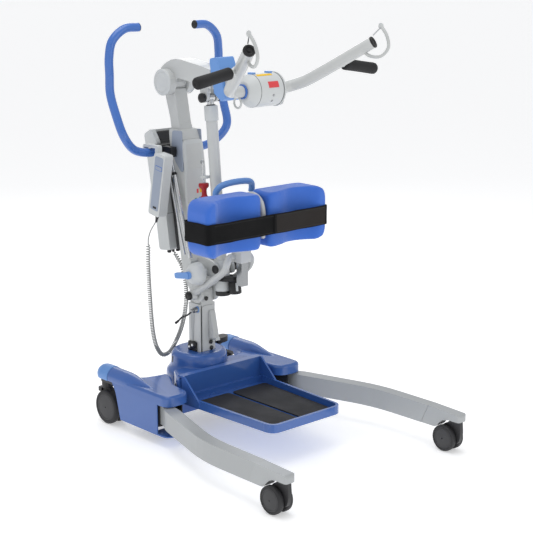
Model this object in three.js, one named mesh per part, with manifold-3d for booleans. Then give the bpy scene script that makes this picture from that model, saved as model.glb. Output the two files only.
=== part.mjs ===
// A sit-to-stand patient lift: a castored base with spreading legs and a lift-off foot tray, a folding mast
// with knee pads and push handles, and an actuator that raises a boom with two sling arms.
// Millimetres. It stands on z = 0 and faces -Y; x = 0 is the plane of symmetry of its frame.
import * as THREE from "three";
import { mergeVertices } from "three/addons/utils/BufferGeometryUtils.js";
import Module from "manifold-3d";

const wasm = await Module();
wasm.setup();

// Driving dimensions.
const GAP = 0.3; // between neighbours that touch
const ORIGIN_SHIFT_Y = 160; // puts the origin under the middle of the object's length
const FRONT_WHEEL_R = 37.5;
const REAR_WHEEL_R = 50;
const LEG = { low: 61, high: 117, tipY: -620, seamTopY: -510, seamLowY: -484, pivot: [230, 22] };
const FRONT_STEM = [323.5, -600];
const REAR_STEM = [232, 262];
const COVER = { low: 30, high: 150, wall: 3, outboard: 257 };
const BEAM = { halfLength: 184, front: 32, back: 72, low: 62, high: 112 };
const TURRET = [0, 120];
const COLUMN = { half: 29, front: 81, back: 130, top: 350 };
const TRAY = { low: 94, floor: 99, rim: 118, wallTop: 175, halfBack: 150, halfFront: 132, front: -346 };
const MAST_PIVOT = [91, 380]; // y, z of the fold axis
const BOOM_PIVOT = [216, 984]; // y, z of the boom's axis
const CLEVIS_PIN = [58, 951]; // y, z of the actuator's upper pin
const ACTUATOR_PIVOT = [14.4, 470]; // y, z of the actuator's lower pin
const LOCK = [47, 455]; // y, z of the fold lock's lever axis
const DRUM = { y: -150, z: 987, radius: 45, half: 60 };
const PAD = { back: -95, tip: -190, low: 555, high: 708, inner: 14, outer: 219 };
const STRAP = { low: 597, high: 652, thick: 2.5 };
const RELEASE = [-23, 27]; // x, y of the emergency release's rod beside the actuator's axis
const HANDLE_HALF = 66; // from the middle to a leg of the pads' handle
const CORD_R = 1.7;
const CURL_R = 7;

// Finishes.
const finish = (color, roughness, metalness = 0) => ({ color, roughness, metalness });
const BLUE = finish(0x4a6db4, 0.35);
const LIGHT_BLUE = finish(0x6f9be8, 0.4);
const PAD_BLUE = finish(0x3668c4, 0.8);
const GREY_PAINT = finish(0xb9bcbc, 0.4, 0.2);
const LIGHT_GREY = finish(0xcfd2d3, 0.5);
const STEEL = finish(0x8d9092, 0.35, 0.9);
const BLACK = finish(0x1c1c1e, 0.7);
const DARK = finish(0x3a3b3d, 0.6);
const RED = finish(0xa51c26, 0.45);

// ---- Solids ----

// A closed three.js geometry as a manifold-3d solid with its faces turned outwards.
function solidOf(geometry) {
  const source = geometry.index ? geometry.toNonIndexed() : geometry;
  const bare = new THREE.BufferGeometry();
  bare.setAttribute("position", source.getAttribute("position"));
  const merged = mergeVertices(bare, 1e-3);
  const numbers = { numProp: 3, vertProperties: merged.attributes.position.array };
  const triVerts = new Uint32Array(merged.index.array);
  const made = new wasm.Manifold(new wasm.Mesh({ ...numbers, triVerts }));
  if (made.volume() > 0) return made;
  for (let i = 0; i < triVerts.length; i += 3) {
    [triVerts[i + 1], triVerts[i + 2]] = [triVerts[i + 2], triVerts[i + 1]];
  }
  return new wasm.Manifold(new wasm.Mesh({ ...numbers, triVerts }));
}

const join = (...solids) => solids.reduce((whole, piece) => whole.add(piece));
const cut = (solid, ...tools) => tools.reduce((rest, tool) => rest.subtract(tool), solid);

function box(xs, ys, zs) {
  const geometry = new THREE.BoxGeometry(xs[1] - xs[0], ys[1] - ys[0], zs[1] - zs[0]);
  geometry.translate((xs[0] + xs[1]) / 2, (ys[0] + ys[1]) / 2, (zs[0] + zs[1]) / 2);
  return solidOf(geometry);
}

// A round bar between two points.
function rod(from, to, radius, sides = 12) {
  const a = new THREE.Vector3(...from);
  const along = new THREE.Vector3(...to).sub(a);
  const length = along.length();
  const geometry = new THREE.CylinderGeometry(radius, radius, length, sides);
  geometry.translate(0, length / 2, 0);
  const turn = new THREE.Quaternion();
  turn.setFromUnitVectors(new THREE.Vector3(0, 1, 0), along.normalize());
  geometry.applyQuaternion(turn);
  geometry.translate(a.x, a.y, a.z);
  return solidOf(geometry);
}

// A bar along X centred on (y, z).
const barX = (low, high, [y, z], radius, sides = 14) => rod([low, y, z], [high, y, z], radius, sides);

// A round tube along a smooth curve through the points.
function sweep(points, radius, steps, sides = 8) {
  const path = points.map((p) => new THREE.Vector3(...p));
  const curve = new THREE.CatmullRomCurve3(path, false, "centripetal");
  const section = new THREE.Shape();
  for (let i = 0; i < sides; i++) {
    const angle = (i / sides) * 2 * Math.PI;
    const [u, v] = [radius * Math.cos(angle), radius * Math.sin(angle)];
    if (i === 0) section.moveTo(u, v);
    else section.lineTo(u, v);
  }
  return solidOf(new THREE.ExtrudeGeometry(section, { steps, bevelEnabled: false, extrudePath: curve }));
}

// An outline's corners are [u, v] or [u, v, r], where r is how far from the corner its rounding starts.
function shapeOf(outline) {
  const shape = new THREE.Shape();
  const towards = (from, to, r) => {
    const length = Math.hypot(to[0] - from[0], to[1] - from[1]);
    const t = Math.min(r / length, 0.5);
    return [from[0] + t * (to[0] - from[0]), from[1] + t * (to[1] - from[1])];
  };
  outline.forEach((corner, i) => {
    const before = outline.at(i - 1);
    const after = outline[(i + 1) % outline.length];
    const r = corner[2] ?? 0;
    const start = towards(corner, before, r);
    if (i === 0) shape.moveTo(...start);
    else shape.lineTo(...start);
    if (r) shape.quadraticCurveTo(corner[0], corner[1], ...towards(corner, after, r));
  });
  shape.closePath();
  return shape;
}

// A flat outline given depth along one axis.
// "x" takes (y, z) corners, "y" takes (x, z) and "z" takes (x, y).
function slab(axis, outline, low, high, curveSegments = 3) {
  const options = { depth: high - low, bevelEnabled: false, curveSegments };
  const geometry = new THREE.ExtrudeGeometry(shapeOf(outline), options);
  geometry.translate(0, 0, low);
  const place = {
    x: new THREE.Matrix4().set(0, 0, 1, 0, 1, 0, 0, 0, 0, 1, 0, 0, 0, 0, 0, 1),
    y: new THREE.Matrix4().set(1, 0, 0, 0, 0, 0, 1, 0, 0, 1, 0, 0, 0, 0, 0, 1),
    z: new THREE.Matrix4(),
  }[axis];
  geometry.applyMatrix4(place);
  return solidOf(geometry);
}

// The outline moved inwards by a distance; its corners run anticlockwise.
function inset(outline, distance) {
  const edges = outline.map((a, i) => {
    const b = outline[(i + 1) % outline.length];
    const length = Math.hypot(b[0] - a[0], b[1] - a[1]);
    const normal = [-(b[1] - a[1]) / length, (b[0] - a[0]) / length];
    return { normal, offset: normal[0] * a[0] + normal[1] * a[1] + distance };
  });
  return outline.map((corner, i) => {
    const [p, q] = [edges.at(i - 1), edges[i]];
    const det = p.normal[0] * q.normal[1] - p.normal[1] * q.normal[0];
    const x = (p.offset * q.normal[1] - q.offset * p.normal[1]) / det;
    const y = (q.offset * p.normal[0] - p.offset * q.normal[0]) / det;
    return corner.length > 2 ? [x, y, Math.max(corner[2] - distance, 1)] : [x, y];
  });
}

// A turned piece: profile of [radius, height] about the vertical through (x, y), or about X through (y, z).
function turned(profile, [x, y], sides = 18) {
  const geometry = new THREE.LatheGeometry(profile.map(([r, h]) => new THREE.Vector2(r, h)), sides);
  geometry.rotateX(Math.PI / 2);
  geometry.translate(x, y, 0);
  return solidOf(geometry);
}

function turnedX(profile, [y, z], sides = 18) {
  const geometry = new THREE.LatheGeometry(profile.map(([r, h]) => new THREE.Vector2(r, h)), sides);
  geometry.rotateZ(-Math.PI / 2);
  geometry.translate(0, y, z);
  return solidOf(geometry);
}

// The same solid on the other side of x = 0.
const mirrored = (solid) => solid.mirror([1, 0, 0]);

// ---- Scene graph ----

const lift = new THREE.Group();
lift.position.y = ORIGIN_SHIFT_Y;

// A named mesh in a group, with its own origin at the point that it turns about or is placed by.
function addPart(group, name, solid, look, origin = [0, 0, 0]) {
  const { numProp, vertProperties, triVerts } = solid.getMesh();
  const geometry = new THREE.BufferGeometry();
  const positions = new Float32Array((vertProperties.length / numProp) * 3);
  for (let i = 0; i < positions.length; i++) {
    positions[i] = vertProperties[Math.floor(i / 3) * numProp + (i % 3)] - origin[i % 3];
  }
  geometry.setAttribute("position", new THREE.BufferAttribute(positions, 3));
  geometry.setIndex(new THREE.BufferAttribute(triVerts, 1));
  geometry.computeVertexNormals();
  const mesh = new THREE.Mesh(geometry, new THREE.MeshStandardMaterial(look));
  mesh.name = name;
  mesh.position.set(...origin);
  group.add(mesh);
}

function addGroup(parent, position = [0, 0, 0]) {
  const group = new THREE.Group();
  group.position.set(...position);
  parent.add(group);
  return group;
}

// ---- Base: chassis, covers, column and pedal ----

function chassisSide() {
  const upper = [
    [160, 36], [205, 2, 10], [248, 2, 8], [249, 80], [249, REAR_STEM[1] + 16, 12],
    [215, REAR_STEM[1] + 16, 12], [208, 120, 20], [160, 70],
  ];
  const lower = [[150, 36], [205, 2, 10], [248, 2, 8], [248, 48, 8], [184, 70], [150, 70]];
  const socket = rod([...REAR_STEM, 105], [...REAR_STEM, 130], 17);
  return join(
    slab("z", upper, 122, 133),
    slab("z", lower, 50, 56),
    box([150, BEAM.halfLength], [38, 70], [49, 133]),
    rod([...LEG.pivot, 50], [...LEG.pivot, 130], 8),
    socket,
  );
}

function baseFrame() {
  const beam = box([-BEAM.halfLength, BEAM.halfLength], [BEAM.front, BEAM.back], [BEAM.low, BEAM.high]);
  const columnPlate = box([-50, 50], [60, 152], [BEAM.high - 12, BEAM.high]);
  const side = chassisSide();
  return join(beam, columnPlate, side, mirrored(side));
}

function sideCover() {
  const outline = [
    [190, -51, 24], [COVER.outboard, -51, 28], [COVER.outboard, 225], [207, 225], [203, 175, 16],
    [190, 148, 16], [147, 137], [114, 131, 8], [124, 96], [162, 33], [168, -30, 12],
  ];
  const crown = cut(rod([232, 150, 144], [232, 225, 144], 27, 16), box([200, 264], [140, 230], [110, 147]));
  const crownHollow = rod([232, 120, 144], [232, 240, 144], 27 - COVER.wall, 16);
  const hollow = slab("z", inset(outline, COVER.wall), COVER.low - 5, COVER.high - COVER.wall);
  const shell = cut(join(slab("z", outline, COVER.low, COVER.high), crown), hollow, crownHollow);
  // The front below the nose is open, so that the leg comes out and swings.
  const mouth = box([120, 300], [-90, -5], [0, 120]);
  const innerMouth = box([160, COVER.outboard - COVER.wall], [-60, 30], [0, 120]);
  // The rear is cut away in a slant, so that the castor turns.
  const archOutline = [[150, 20], [166, 20], [190, 112, 20], [206, 134.5], [300, 134.5], [300, 10], [150, 10]];
  const arch = slab("x", archOutline, 180, 300);
  const beamWay = box([90, 186], [24, 84], [0, 138]);
  // A thin floor carries the nose's outline on under the leg.
  const lip = slab("z", inset([...outline.slice(0, 2), [COVER.outboard, 20], [190, 20]], 0.2), COVER.low, 34);
  return join(cut(shell, mouth, innerMouth, arch, beamWay), lip);
}

function armCap() {
  const profile = [[0, 226.5], [28.5, 226.5], [28.5, 268], [25, 280], [16, 288], [0, 290]];
  const geometry = new THREE.LatheGeometry(profile.map(([r, h]) => new THREE.Vector2(r, h)), 24);
  geometry.translate(REAR_STEM[0], 0, 0);
  const round = solidOf(geometry.applyMatrix4(new THREE.Matrix4().makeTranslation(0, 0, 144)));
  return cut(round, box([180, 300], [200, 300], [100, 134]));
}

function centreCover() {
  const outline = [[-157, 22], [157, 22], [152, 38], [112, 100], [-112, 100], [-152, 38]];
  const outer = [
    [0, 60], [98, 60], [96, 146], [89, 154], [84.5, 164], [82.5, 176], [82, 190], [79, 199], [72, 205],
    [64, 207], [0, 207],
  ];
  const inner = [
    [0, 50], [95, 50], [93, 145], [86, 153], [81.5, 163], [79.5, 176], [79, 189], [76, 197], [70, 202],
    [62, 204], [0, 204],
  ];
  const hollow = join(slab("z", inset(outline, 3), 40, 165), turned(inner, TURRET, 24));
  return cut(
    join(slab("z", outline, 60, 168), turned(outer, TURRET, 24)),
    hollow,
    box([-COLUMN.half - 2, COLUMN.half + 2], [COLUMN.front - 2, COLUMN.back + 2], [190, 220]),
    box([50, 110], [136, 170], [182, 199]),
    box([-200, 200], [28, 80], [40, 138]),
  );
}

function lowerColumn() {
    const { half, front, back } = COLUMN;
  const tongue = slab("x", [[front, 340], [back, 340], [back, 398, 10], [front, 398, 14]], -22, 22);
  const body = box([-half, half], [front, back], [BEAM.high + GAP, COLUMN.top]);
  return join(body, tongue, barX(-57, 57, MAST_PIVOT, 8));
}

function spreadPedal() {
  const arm = rod([51, 138, 190], [108, 156, 194], 5.5, 12);
  const pad = slab("z", [[90, 138, 20], [142, 146, 22], [144, 180, 22], [90, 172, 20]], 195, 211, 4);
  return join(arm, rod([106, 155, 192], [112, 158, 199], 8, 12), pad);
}

function addBase() {
  const base = addGroup(lift);
  addPart(base, "base_frame", baseFrame(), STEEL);
  const cover = sideCover();
  const cap = armCap();
  addPart(base, "side_cover_right", cover, BLUE);
  addPart(base, "side_cover_left", mirrored(cover), BLUE);
  addPart(base, "arm_cap_right", cap, LIGHT_BLUE);
  addPart(base, "arm_cap_left", mirrored(cap), LIGHT_BLUE);
  addPart(base, "centre_cover", centreCover(), BLUE);
  addPart(base, "lower_column", lowerColumn(), GREY_PAINT);
  addPart(base, "spread_pedal", spreadPedal(), BLACK, [...TURRET, 190]);
  const boss = barX(-52, -COLUMN.half - GAP, [89, 335], 8);
  const arm = sweep([[-46, 92, 333], [-62, 97, 322], [-76, 102, 318], [-92, 105, 306]], 3, 6, 6);
  addPart(base, "column_lever", join(boss, arm), DARK, [-44, 89, 335]);
}

// ---- Legs, castors and foot tray ----

function legTube() {
  const outline = [
    [220, 22], [226, -30, 10], [230, -69, 30], [303, -300, 70], [307, LEG.tipY + 60],
    [340, LEG.tipY + 60], [340, -300, 70], [267, -53, 16], [248, -22, 10], [240, 22],
  ];
  const seam = [
    [LEG.seamTopY + GAP, LEG.high], [LEG.seamLowY + GAP, LEG.low], [LEG.seamLowY, 40], [-700, 40],
    [-700, 140], [LEG.seamTopY, 140],
  ];
  const eye = rod([...LEG.pivot, LEG.low], [...LEG.pivot, LEG.high], 20);
  const bore = rod([...LEG.pivot, 40], [...LEG.pivot, 140], 8.6);
  return cut(join(slab("z", outline, LEG.low, LEG.high, 4), eye), bore, slab("x", seam, 280, 360));
}

function legCap() {
  const side = [
    [LEG.seamTopY, LEG.high], [LEG.tipY, 113, 8], [LEG.tipY, 92], [-562, 92, 24], [-538, 61, 10],
    [LEG.seamLowY, LEG.low],
  ];
  const plan = [[307, LEG.seamLowY + 5], [307, LEG.tipY, 8], [340, LEG.tipY, 8], [340, LEG.seamLowY + 5]];
  const trim = slab("z", plan, 40, 140);
  return slab("x", side, 300, 345).intersect(trim);
}

// A twin wheel on its axle along X, centred on x = 0.
function twinWheel(radius, inner, outer, centre) {
  const half = [
    [0, inner], [radius - 3, inner], [radius, inner + 3], [radius, outer - 4], [radius - 4, outer], [0, outer],
  ];
  const wheel = turnedX(half, centre, 18);
  return join(wheel, mirrored(wheel), barX(-inner - 1, inner + 1, centre, 5, 12));
}

// The body between a castor's two wheels, under its stem.
function castorFork(radius, half, trail, top) {
  const side = [
    [-16, top], [16, top], [trail + radius * 0.5, radius * 1.7, 14], [trail + radius * 0.7, radius, 14],
    [trail, radius * 0.42, 14], [-12, radius * 0.7, 16], [-19, radius * 1.5, 10],
  ];
  const web = slab("x", side, -half, half);
  const plate = rod([0, 0, top - 3.2], [0, 0, top], 15, 16);
  return cut(join(web, plate), barX(-40, 40, [trail, radius], 5.5, 12));
}

const CASTORS = { front: { radius: FRONT_WHEEL_R, trail: 31, top: 91.6, inner: 7, outer: 25 } };
CASTORS.rear = { radius: REAR_WHEEL_R, trail: -22, top: 104.6, inner: 8, outer: 27 };

function addCastor(parent, place, side, stem) {
  const { radius, trail, top, inner, outer } = CASTORS[place];
  const name = `${place}_${side > 0 ? "right" : "left"}`;
  const castor = addGroup(parent, [side * stem[0], stem[1], 0]);
  const direction = Math.sign(trail);
  const fork = castorFork(radius, inner - 1.2, Math.abs(trail), top);
  const turnedFork = direction > 0 ? fork : fork.mirror([0, 1, 0]);
  if (place === "rear") {
    const lugs = join(
      box([-12, -9], [15.5, 30], [86, 98]),
      box([9, 12], [15.5, 30], [86, 98]),
      box([-12, 12], [15.5, 19], [90, 98]),
      box([-6, 6], [4, 16], [88, 100]),
    );
    const pivot = barX(-12, 12, [25, 91], 2.5, 8);
    addPart(castor, `castor_fork_${name}`, join(turnedFork, lugs, pivot), DARK);
    const pedal = cut(
      slab("x", [[20.5, 86, 2], [31, 84, 2], [34, 92, 3], [33, 99, 2], [20.5, 97, 3]], -8.4, 8.4),
      barX(-20, 20, [25, 91], 3.1, 8),
    );
    addPart(castor, `brake_pedal_${name}`, pedal, BLACK, [0, 25, 91]);
  } else {
    addPart(castor, `castor_fork_${name}`, turnedFork, DARK);
  }
  addPart(castor, `castor_wheel_${name}`, twinWheel(radius, inner, outer, [trail, radius]), DARK);
}

function addLegs() {
  const tube = legTube();
  const cap = legCap();
  for (const side of [1, -1]) {
    const leg = addGroup(lift);
    const word = side > 0 ? "right" : "left";
    const own = (solid) => (side > 0 ? solid : mirrored(solid));
    addPart(leg, `leg_${word}`, own(tube), GREY_PAINT, [side * LEG.pivot[0], LEG.pivot[1], 0]);
    addPart(leg, `leg_cap_${word}`, own(cap), GREY_PAINT);
    addCastor(leg, "front", side, FRONT_STEM);
    addCastor(lift, "rear", side, REAR_STEM);
  }
}

function footTray() {
  const plan = [
    [-TRAY.halfFront, TRAY.front, 30], [TRAY.halfFront, TRAY.front, 30],
    [TRAY.halfBack, 12], [-TRAY.halfBack, 12],
  ];
  const pan = cut(slab("z", plan, TRAY.low, TRAY.rim, 5), slab("z", inset(plan, 8), TRAY.floor, 200, 5));
  const hook = [
    [12, TRAY.low], [18, TRAY.low], [18, TRAY.wallTop - 5],
    [33, TRAY.wallTop - 5], [33, TRAY.wallTop], [12, TRAY.wallTop],
  ];
  const wall = slab("x", hook, -TRAY.halfBack, TRAY.halfBack);
  const gussetOutline = [
    [13, TRAY.floor], [13, TRAY.wallTop], [8, TRAY.wallTop], [-60, 112], [-60, TRAY.floor],
  ];
  const gusset = slab("x", gussetOutline, TRAY.halfBack - 6, TRAY.halfBack);
  return join(pan, wall, gusset, mirrored(gusset));
}

function addTray() {
  const tray = addGroup(lift);
  addPart(tray, "foot_tray", footTray(), BLUE);
  const matPlan = [[6, -332, 14], [118, -332, 22], [134, -20, 12], [6, -20, 12]];
  const mat = slab("z", matPlan, TRAY.floor + GAP, TRAY.floor + 4, 4);
  addPart(tray, "tray_mat_right", mat, BLACK);
  addPart(tray, "tray_mat_left", mirrored(mat), BLACK);
}

// ---- Mast and what it carries ----

function mastTube() {
  const lower = [
    [70, 392], [88, 432], [104, 480], [121, 560], [129, 621], [134, 741], [147, 825], [158, 852, 10],
    [205, 852, 10], [203, 825], [192, 741], [181, 621], [158, 480], [148, 430], [117, 384],
  ];
  const upper = [[152, 820], [172, 870], [191, 965], [241, 975], [233, 946], [212, 880], [202, 820]];
  const yoke = [[110, 440], [110, 500], [96, 500, 8], [14, 492, 20], [-8, 478, 16], [-6, 452, 10], [60, 440]];
  return cut(
    join(
      slab("x", lower, -33, 33),
      barX(-33, 33, MAST_PIVOT, 26, 16),
      slab("x", upper, -22, 22),
      barX(-22, 22, BOOM_PIVOT, 26, 16),
      barX(-29, 29, BOOM_PIVOT, 9),
      cut(slab("x", yoke, -33, 33), box([-26, 26], [-20, 88], [430, 510])),
      barX(-60, -30, [86, 482], 7, 12),
    ),
    box([-24, 24], [40, 170], [340, 402]),
    barX(-40, 40, MAST_PIVOT, 8.6),
  );
}

function mastCover() {
  const front = [[113, 560], [121, 621], [126, 741], [139, 825]];
  const side = [...front, ...front.map(([y, z]) => [y + 7.4, z]).reverse()];
  const face = [[-36, 550], [36, 550], [36, 824, 16], [-36, 824, 16]];
  return slab("x", side, -36, 36).intersect(slab("y", face, 90, 170, 4));
}

function controlBox() {
  return slab("x", [[190, 497, 6], [240, 491, 8], [257, 600], [206, 603]], -48, 48);
}

function batteryPack() {
  const body = slab("x", [[207, 604], [257.6, 600.8], [301.5, 828, 8], [268, 846, 6], [243, 812, 6]], -50, 50);
  return cut(body, box([-36, 36], [225, 276], [776, 860]));
}

function handlebar() {
  const side = [
    [55, 220, 790], [95, 220, 786], [150, 217, 800], [190, 210, 842], [199, 232, 900], [200, 256, 960],
    [200, 257, 1010], [200, 257, 1060], [190, 254, 1105], [150, 250, 1137], [103, 249, 1140],
  ];
  const points = [...side.map(([x, y, z]) => [-x, y, z]).reverse(), ...side];
  return sweep(points, 12.5, 44);
}

function barClamp() {
  const block = join(box([-62, 62], [204, 235.8], [774, 806]), box([-62, -42], [160, 235.8], [776, 804]));
  return cut(block, sweep([[-90, 220, 787], [-55, 220, 790], [55, 220, 790], [90, 220, 787]], 14, 6));
}

function handset() {
  const body = slab("x", [[133, 786, 8], [182, 792, 8], [217, 612, 8], [168, 604, 8]], -105, -75);
  const hookOutline = [
    [176, 779], [176, 810, 6], [245, 810, 8], [245, 784], [239, 784], [239, 802], [188, 802], [188, 779],
  ];
  const hook = slab("x", hookOutline, -98, -82);
  return join(body, hook);
}

function lockHousing() {
  const profile = [
    [0, -93], [12, -92], [24, -85], [31, -73], [33, -62], [33, -56.4], [12, -56.4], [12, -33.4], [0, -33.4],
  ];
  return turnedX(profile, LOCK);
}

// A gas strut from its lug beside the lock housing up to the handlebar clamp.
function gasStrut() {
  const [low, middle, high] = [[-52, 89, 491], [-52, 160, 728], [-52, 173, 774]];
  return join(rod(low, middle, 7, 14), rod([-52, 159.7, 727], high, 4, 12));
}

function kneeFrame() {
  const half = [
    [46, 88, 384], [45, 40, 414], [45, -12, 448], [45, -52, 478],
    [44, -62, 500], [34, -60, 514], [20, -58, 516],
  ];
  const tube = sweep([...half.map(([x, y, z]) => [-x, y, z]), ...half.slice().reverse()], 10, 28);
  const sleeve = box([-19, 19], [-93, -50], [500, 552]);
  return cut(
    join(tube, sleeve, barX(36.5, 56, MAST_PIVOT, 15), barX(-56, -36.5, MAST_PIVOT, 15)),
    barX(-70, 70, MAST_PIVOT, 8.6),
    box([-12.5, 12.5], [-87.5, -62.5], [490, 560]),
  );
}

function addMast() {
  const mast = addGroup(lift);
  const [y, z] = MAST_PIVOT;
  addPart(mast, "mast_tube", mastTube(), GREY_PAINT, [0, y, z]);
  addPart(mast, "mast_cover", mastCover(), LIGHT_GREY);
  addPart(mast, "control_box", controlBox(), LIGHT_GREY);
  addPart(mast, "battery_pack", batteryPack(), LIGHT_GREY);
  const rail = [[166, 500], [187, 500], [203.5, 602], [225, 740], [197, 740], [185, 621]];
  addPart(mast, "box_rail", slab("x", rail, -24, 24), DARK);
  addPart(mast, "handlebar", handlebar(), BLUE);
  addPart(mast, "bar_clamp", barClamp(), BLACK);
  addPart(mast, "handset", handset(), LIGHT_GREY);
  addPart(mast, "lock_housing", lockHousing(), LIGHT_GREY);
  const blade = slab("x", [[38, 447, 6], [100, 438, 6], [103, 454, 6], [42, 466, 8]], -103, -95);
  addPart(mast, "lock_lever", join(barX(-101, -93.4, LOCK, 11), blade), LIGHT_BLUE, [-98, ...LOCK]);
  addPart(mast, "gas_strut", gasStrut(), STEEL);
  addPart(mast, "knee_frame", kneeFrame(), GREY_PAINT);
  addKneePads(mast);
  addActuator(mast);
  addBoom(mast);
  addCord(mast);
}

function kneePad() {
  const { back, tip, inner, outer } = PAD;
  const outline = [
    [inner, back, 6], [inner, tip + 14, 12], [52, tip + 16, 20], [112, tip + 40, 40], [170, tip + 22, 30],
    [198, tip, 14], [outer, tip + 4, 16], [outer, back, 16],
  ];
  const face = [[inner, PAD.low, 16], [outer, PAD.low, 44], [outer, PAD.high, 44], [inner, PAD.high, 18]];
  return slab("z", outline, PAD.low, PAD.high).intersect(slab("y", face, tip - 1, back + 1, 5));
}

function kneeStrap() {
  const [back, front, outer] = [PAD.back + 3, PAD.tip - 3.5, PAD.outer + 3.2];
  const turn = [
    [-180, back], [-180, back + 2.5], [-outer, back + 2.5, 10], [-outer, front, 12],
    [outer, front, 12], [outer, back + 2.5, 10], [180, back + 2.5], [180, back],
  ];
  const t = STRAP.thick;
  const inside = [
    [outer - t, back, 8], [outer - t, front + t, 10], [-outer + t, front + t, 10], [-outer + t, back, 8],
  ];
  return slab("z", [...turn, ...inside], STRAP.low, STRAP.high, 3);
}

function padBracket() {
  const plate = box([-150, 150], [PAD.back + GAP, PAD.back + 6], [575, 600]);
  const upper = box([-76, 76], [PAD.back + GAP, PAD.back + 6], [600, 690]);
  const post = box([-12, 12], [-87, -63], [432, 690]);
  const hookPath = [
    [0, -88, 668], [0, -94, 690], [0, -122, 698], [0, -151, 684], [0, -162, 645], [0, -160, 585],
  ];
  const hook = sweep(hookPath, 8, 12);
  const x = HANDLE_HALF;
  const stub = join(rod([x, -92, 650], [x, -40, 650], 6, 10), rod([x, -40, 645], [x, -40, 687.6], 7, 10));
  return join(plate, upper, post, hook, stub, mirrored(stub));
}

function addKneePads(mast) {
  const pads = addGroup(mast);
  const pad = kneePad();
  addPart(pads, "knee_pad_right", pad, PAD_BLUE);
  addPart(pads, "knee_pad_left", mirrored(pad), PAD_BLUE);
  addPart(pads, "knee_strap", kneeStrap(), BLACK);
  addPart(pads, "pad_bracket", padBracket(), STEEL);
  const half = [[HANDLE_HALF, -40, 689.4], [HANDLE_HALF, -42, 702], [58, -48, 716], [36, -54, 724]];
  const grip = sweep([...half.map(([x, y, z]) => [-x, y, z]), ...half.slice().reverse()], 9, 14);
  addPart(pads, "pad_handle", grip, LIGHT_BLUE);
}

// The actuator stands in its own group, along the line between its two pins.
function addActuator(mast) {
  const [lowY, lowZ] = ACTUATOR_PIVOT;
  const [dy, dz] = [CLEVIS_PIN[0] - lowY, CLEVIS_PIN[1] - lowZ];
  const reach = Math.hypot(dy, dz);
  const actuator = addGroup(mast, [0, lowY, lowZ]);
  actuator.rotation.x = -Math.atan2(dy, dz);
  const housing = join(
    rod([0, 0, -82], [0, 0, 22], 22, 16),
    rod([13, -38, -76], [13, -38, -29], 18, 16),
    slab("z", [
      [-22, 10, 12], [-22, -24, 12], [-6, -57, 14], [31, -57, 14], [31, -24, 12], [22, 14, 12],
    ], -38, -24),
    barX(-25.6, 25.6, [0, 0], 7, 14),
  );
  addPart(actuator, "actuator_motor", housing, LIGHT_GREY);
  const [pullX, pullY] = RELEASE;
  const clip = cut(box([-30, -9], [8, 34], [256, 264]), rod([pullX, pullY, 240], [pullX, pullY, 280], 4.2, 10));
  const tube = cut(
    join(
      rod([0, 0, 22.3], [0, 0, reach - 64], 16.5),
      rod([0, 0, reach - 65], [0, 0, reach - 23], 19.5),
      clip,
    ),
    rod([0, 0, 40], [0, 0, reach], 10.9),
  );
  addPart(actuator, "actuator_tube", tube, LIGHT_GREY);
  const eye = barX(-10, 10, [0, reach], 11, 18);
  addPart(actuator, "actuator_rod", join(rod([0, 0, 46], [0, 0, reach - 4], 10), eye), STEEL);
  const spoolProfile = [
    [0, 190], [15, 190], [15, 200], [7.5, 210], [7.5, 224], [15, 231], [15, 243], [0, 243],
  ];
  const spool = turned(spoolProfile, RELEASE, 14);
  const pull = rod([pullX, pullY, 241], [pullX, pullY, 298], 3.4, 10);
  const pullEye = barX(pullX - 3, pullX + 3, [pullY, 302], 6.5, 12);
  addPart(actuator, "emergency_release", join(spool, pull, pullEye), RED);
}

// ---- Boom, spreader and sling arms ----

function boomArm() {
  const body = [
    [24, 979], [24, 1030, 8], [60, 1038, 30], [120, 1046, 30], [188, 1056, 34], [252, 1022, 26],
    [254, 984, 20], [216, 946, 20], [180, 968, 10], [178, 1000, 14], [132, 994, 20],
  ];
  const neck = [[-120, 968], [-120, 1004], [30, 1022], [30, 978]];
  const cheek = slab("x", [[40, 990], [44, 946, 8], [58, 935, 8], [72, 946, 8], [78, 990]], 14, 23);
  const disc = barX(-45, 45, BOOM_PIVOT, 38, 20);
  return cut(
    join(slab("x", body, -27, 27), slab("x", neck, -20, 20), cheek, mirrored(cheek), disc),
    box([-23, 23], [160, 262], [880, 1001]),
    barX(-23, 23, BOOM_PIVOT, 30, 16),
    barX(-31, 31, BOOM_PIVOT, 9.7),
    barX(-DRUM.half - 1, DRUM.half + 1, [DRUM.y, DRUM.z], DRUM.radius + GAP, 20),
  );
}

function boomBracket() {
  const side = [
    [22, 1048], [22, 1062, 5], [-6, 1068, 6], [-16, 1046, 10], [-42, 960, 8], [-28, 946, 8], [4, 968],
  ];
  const neckWay = slab("x", [[-130, 967], [-130, 1005.4], [40, 1023.6], [40, 976.6]], -20.4, 20.4);
  return cut(slab("x", side, -31, 31), neckWay);
}

const TAB_X = [-30, 30];

function spreaderDrum() {
  const { half, radius } = DRUM;
  const profile = [
    [16.8, -half], [26, -half], [42, -37], [radius, -34], [radius, half - 6], [radius - 4, half],
    [16.8, half], [16.8, -half],
  ];
  const pockets = TAB_X.map((x) => box([x - 8, x + 8], [DRUM.y - 9, DRUM.y + 9], [1020, 1040]));
  return cut(turnedX(profile, [DRUM.y, DRUM.z], 20), ...pockets);
}

const ARM = [
  [60.6, -150, 987], [84, -150, 988], [108, -154, 991], [132, -184, 1004], [150, -218, 1024], [220, -355, 1114],
];
const GRIP = { from: [204, -264, 1052], to: [321, -269, 1033] };
const GRIP_STUB = { from: [174.4, -262.7, 1056.8], to: [203.6, -263.98, 1052.06] };

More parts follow.
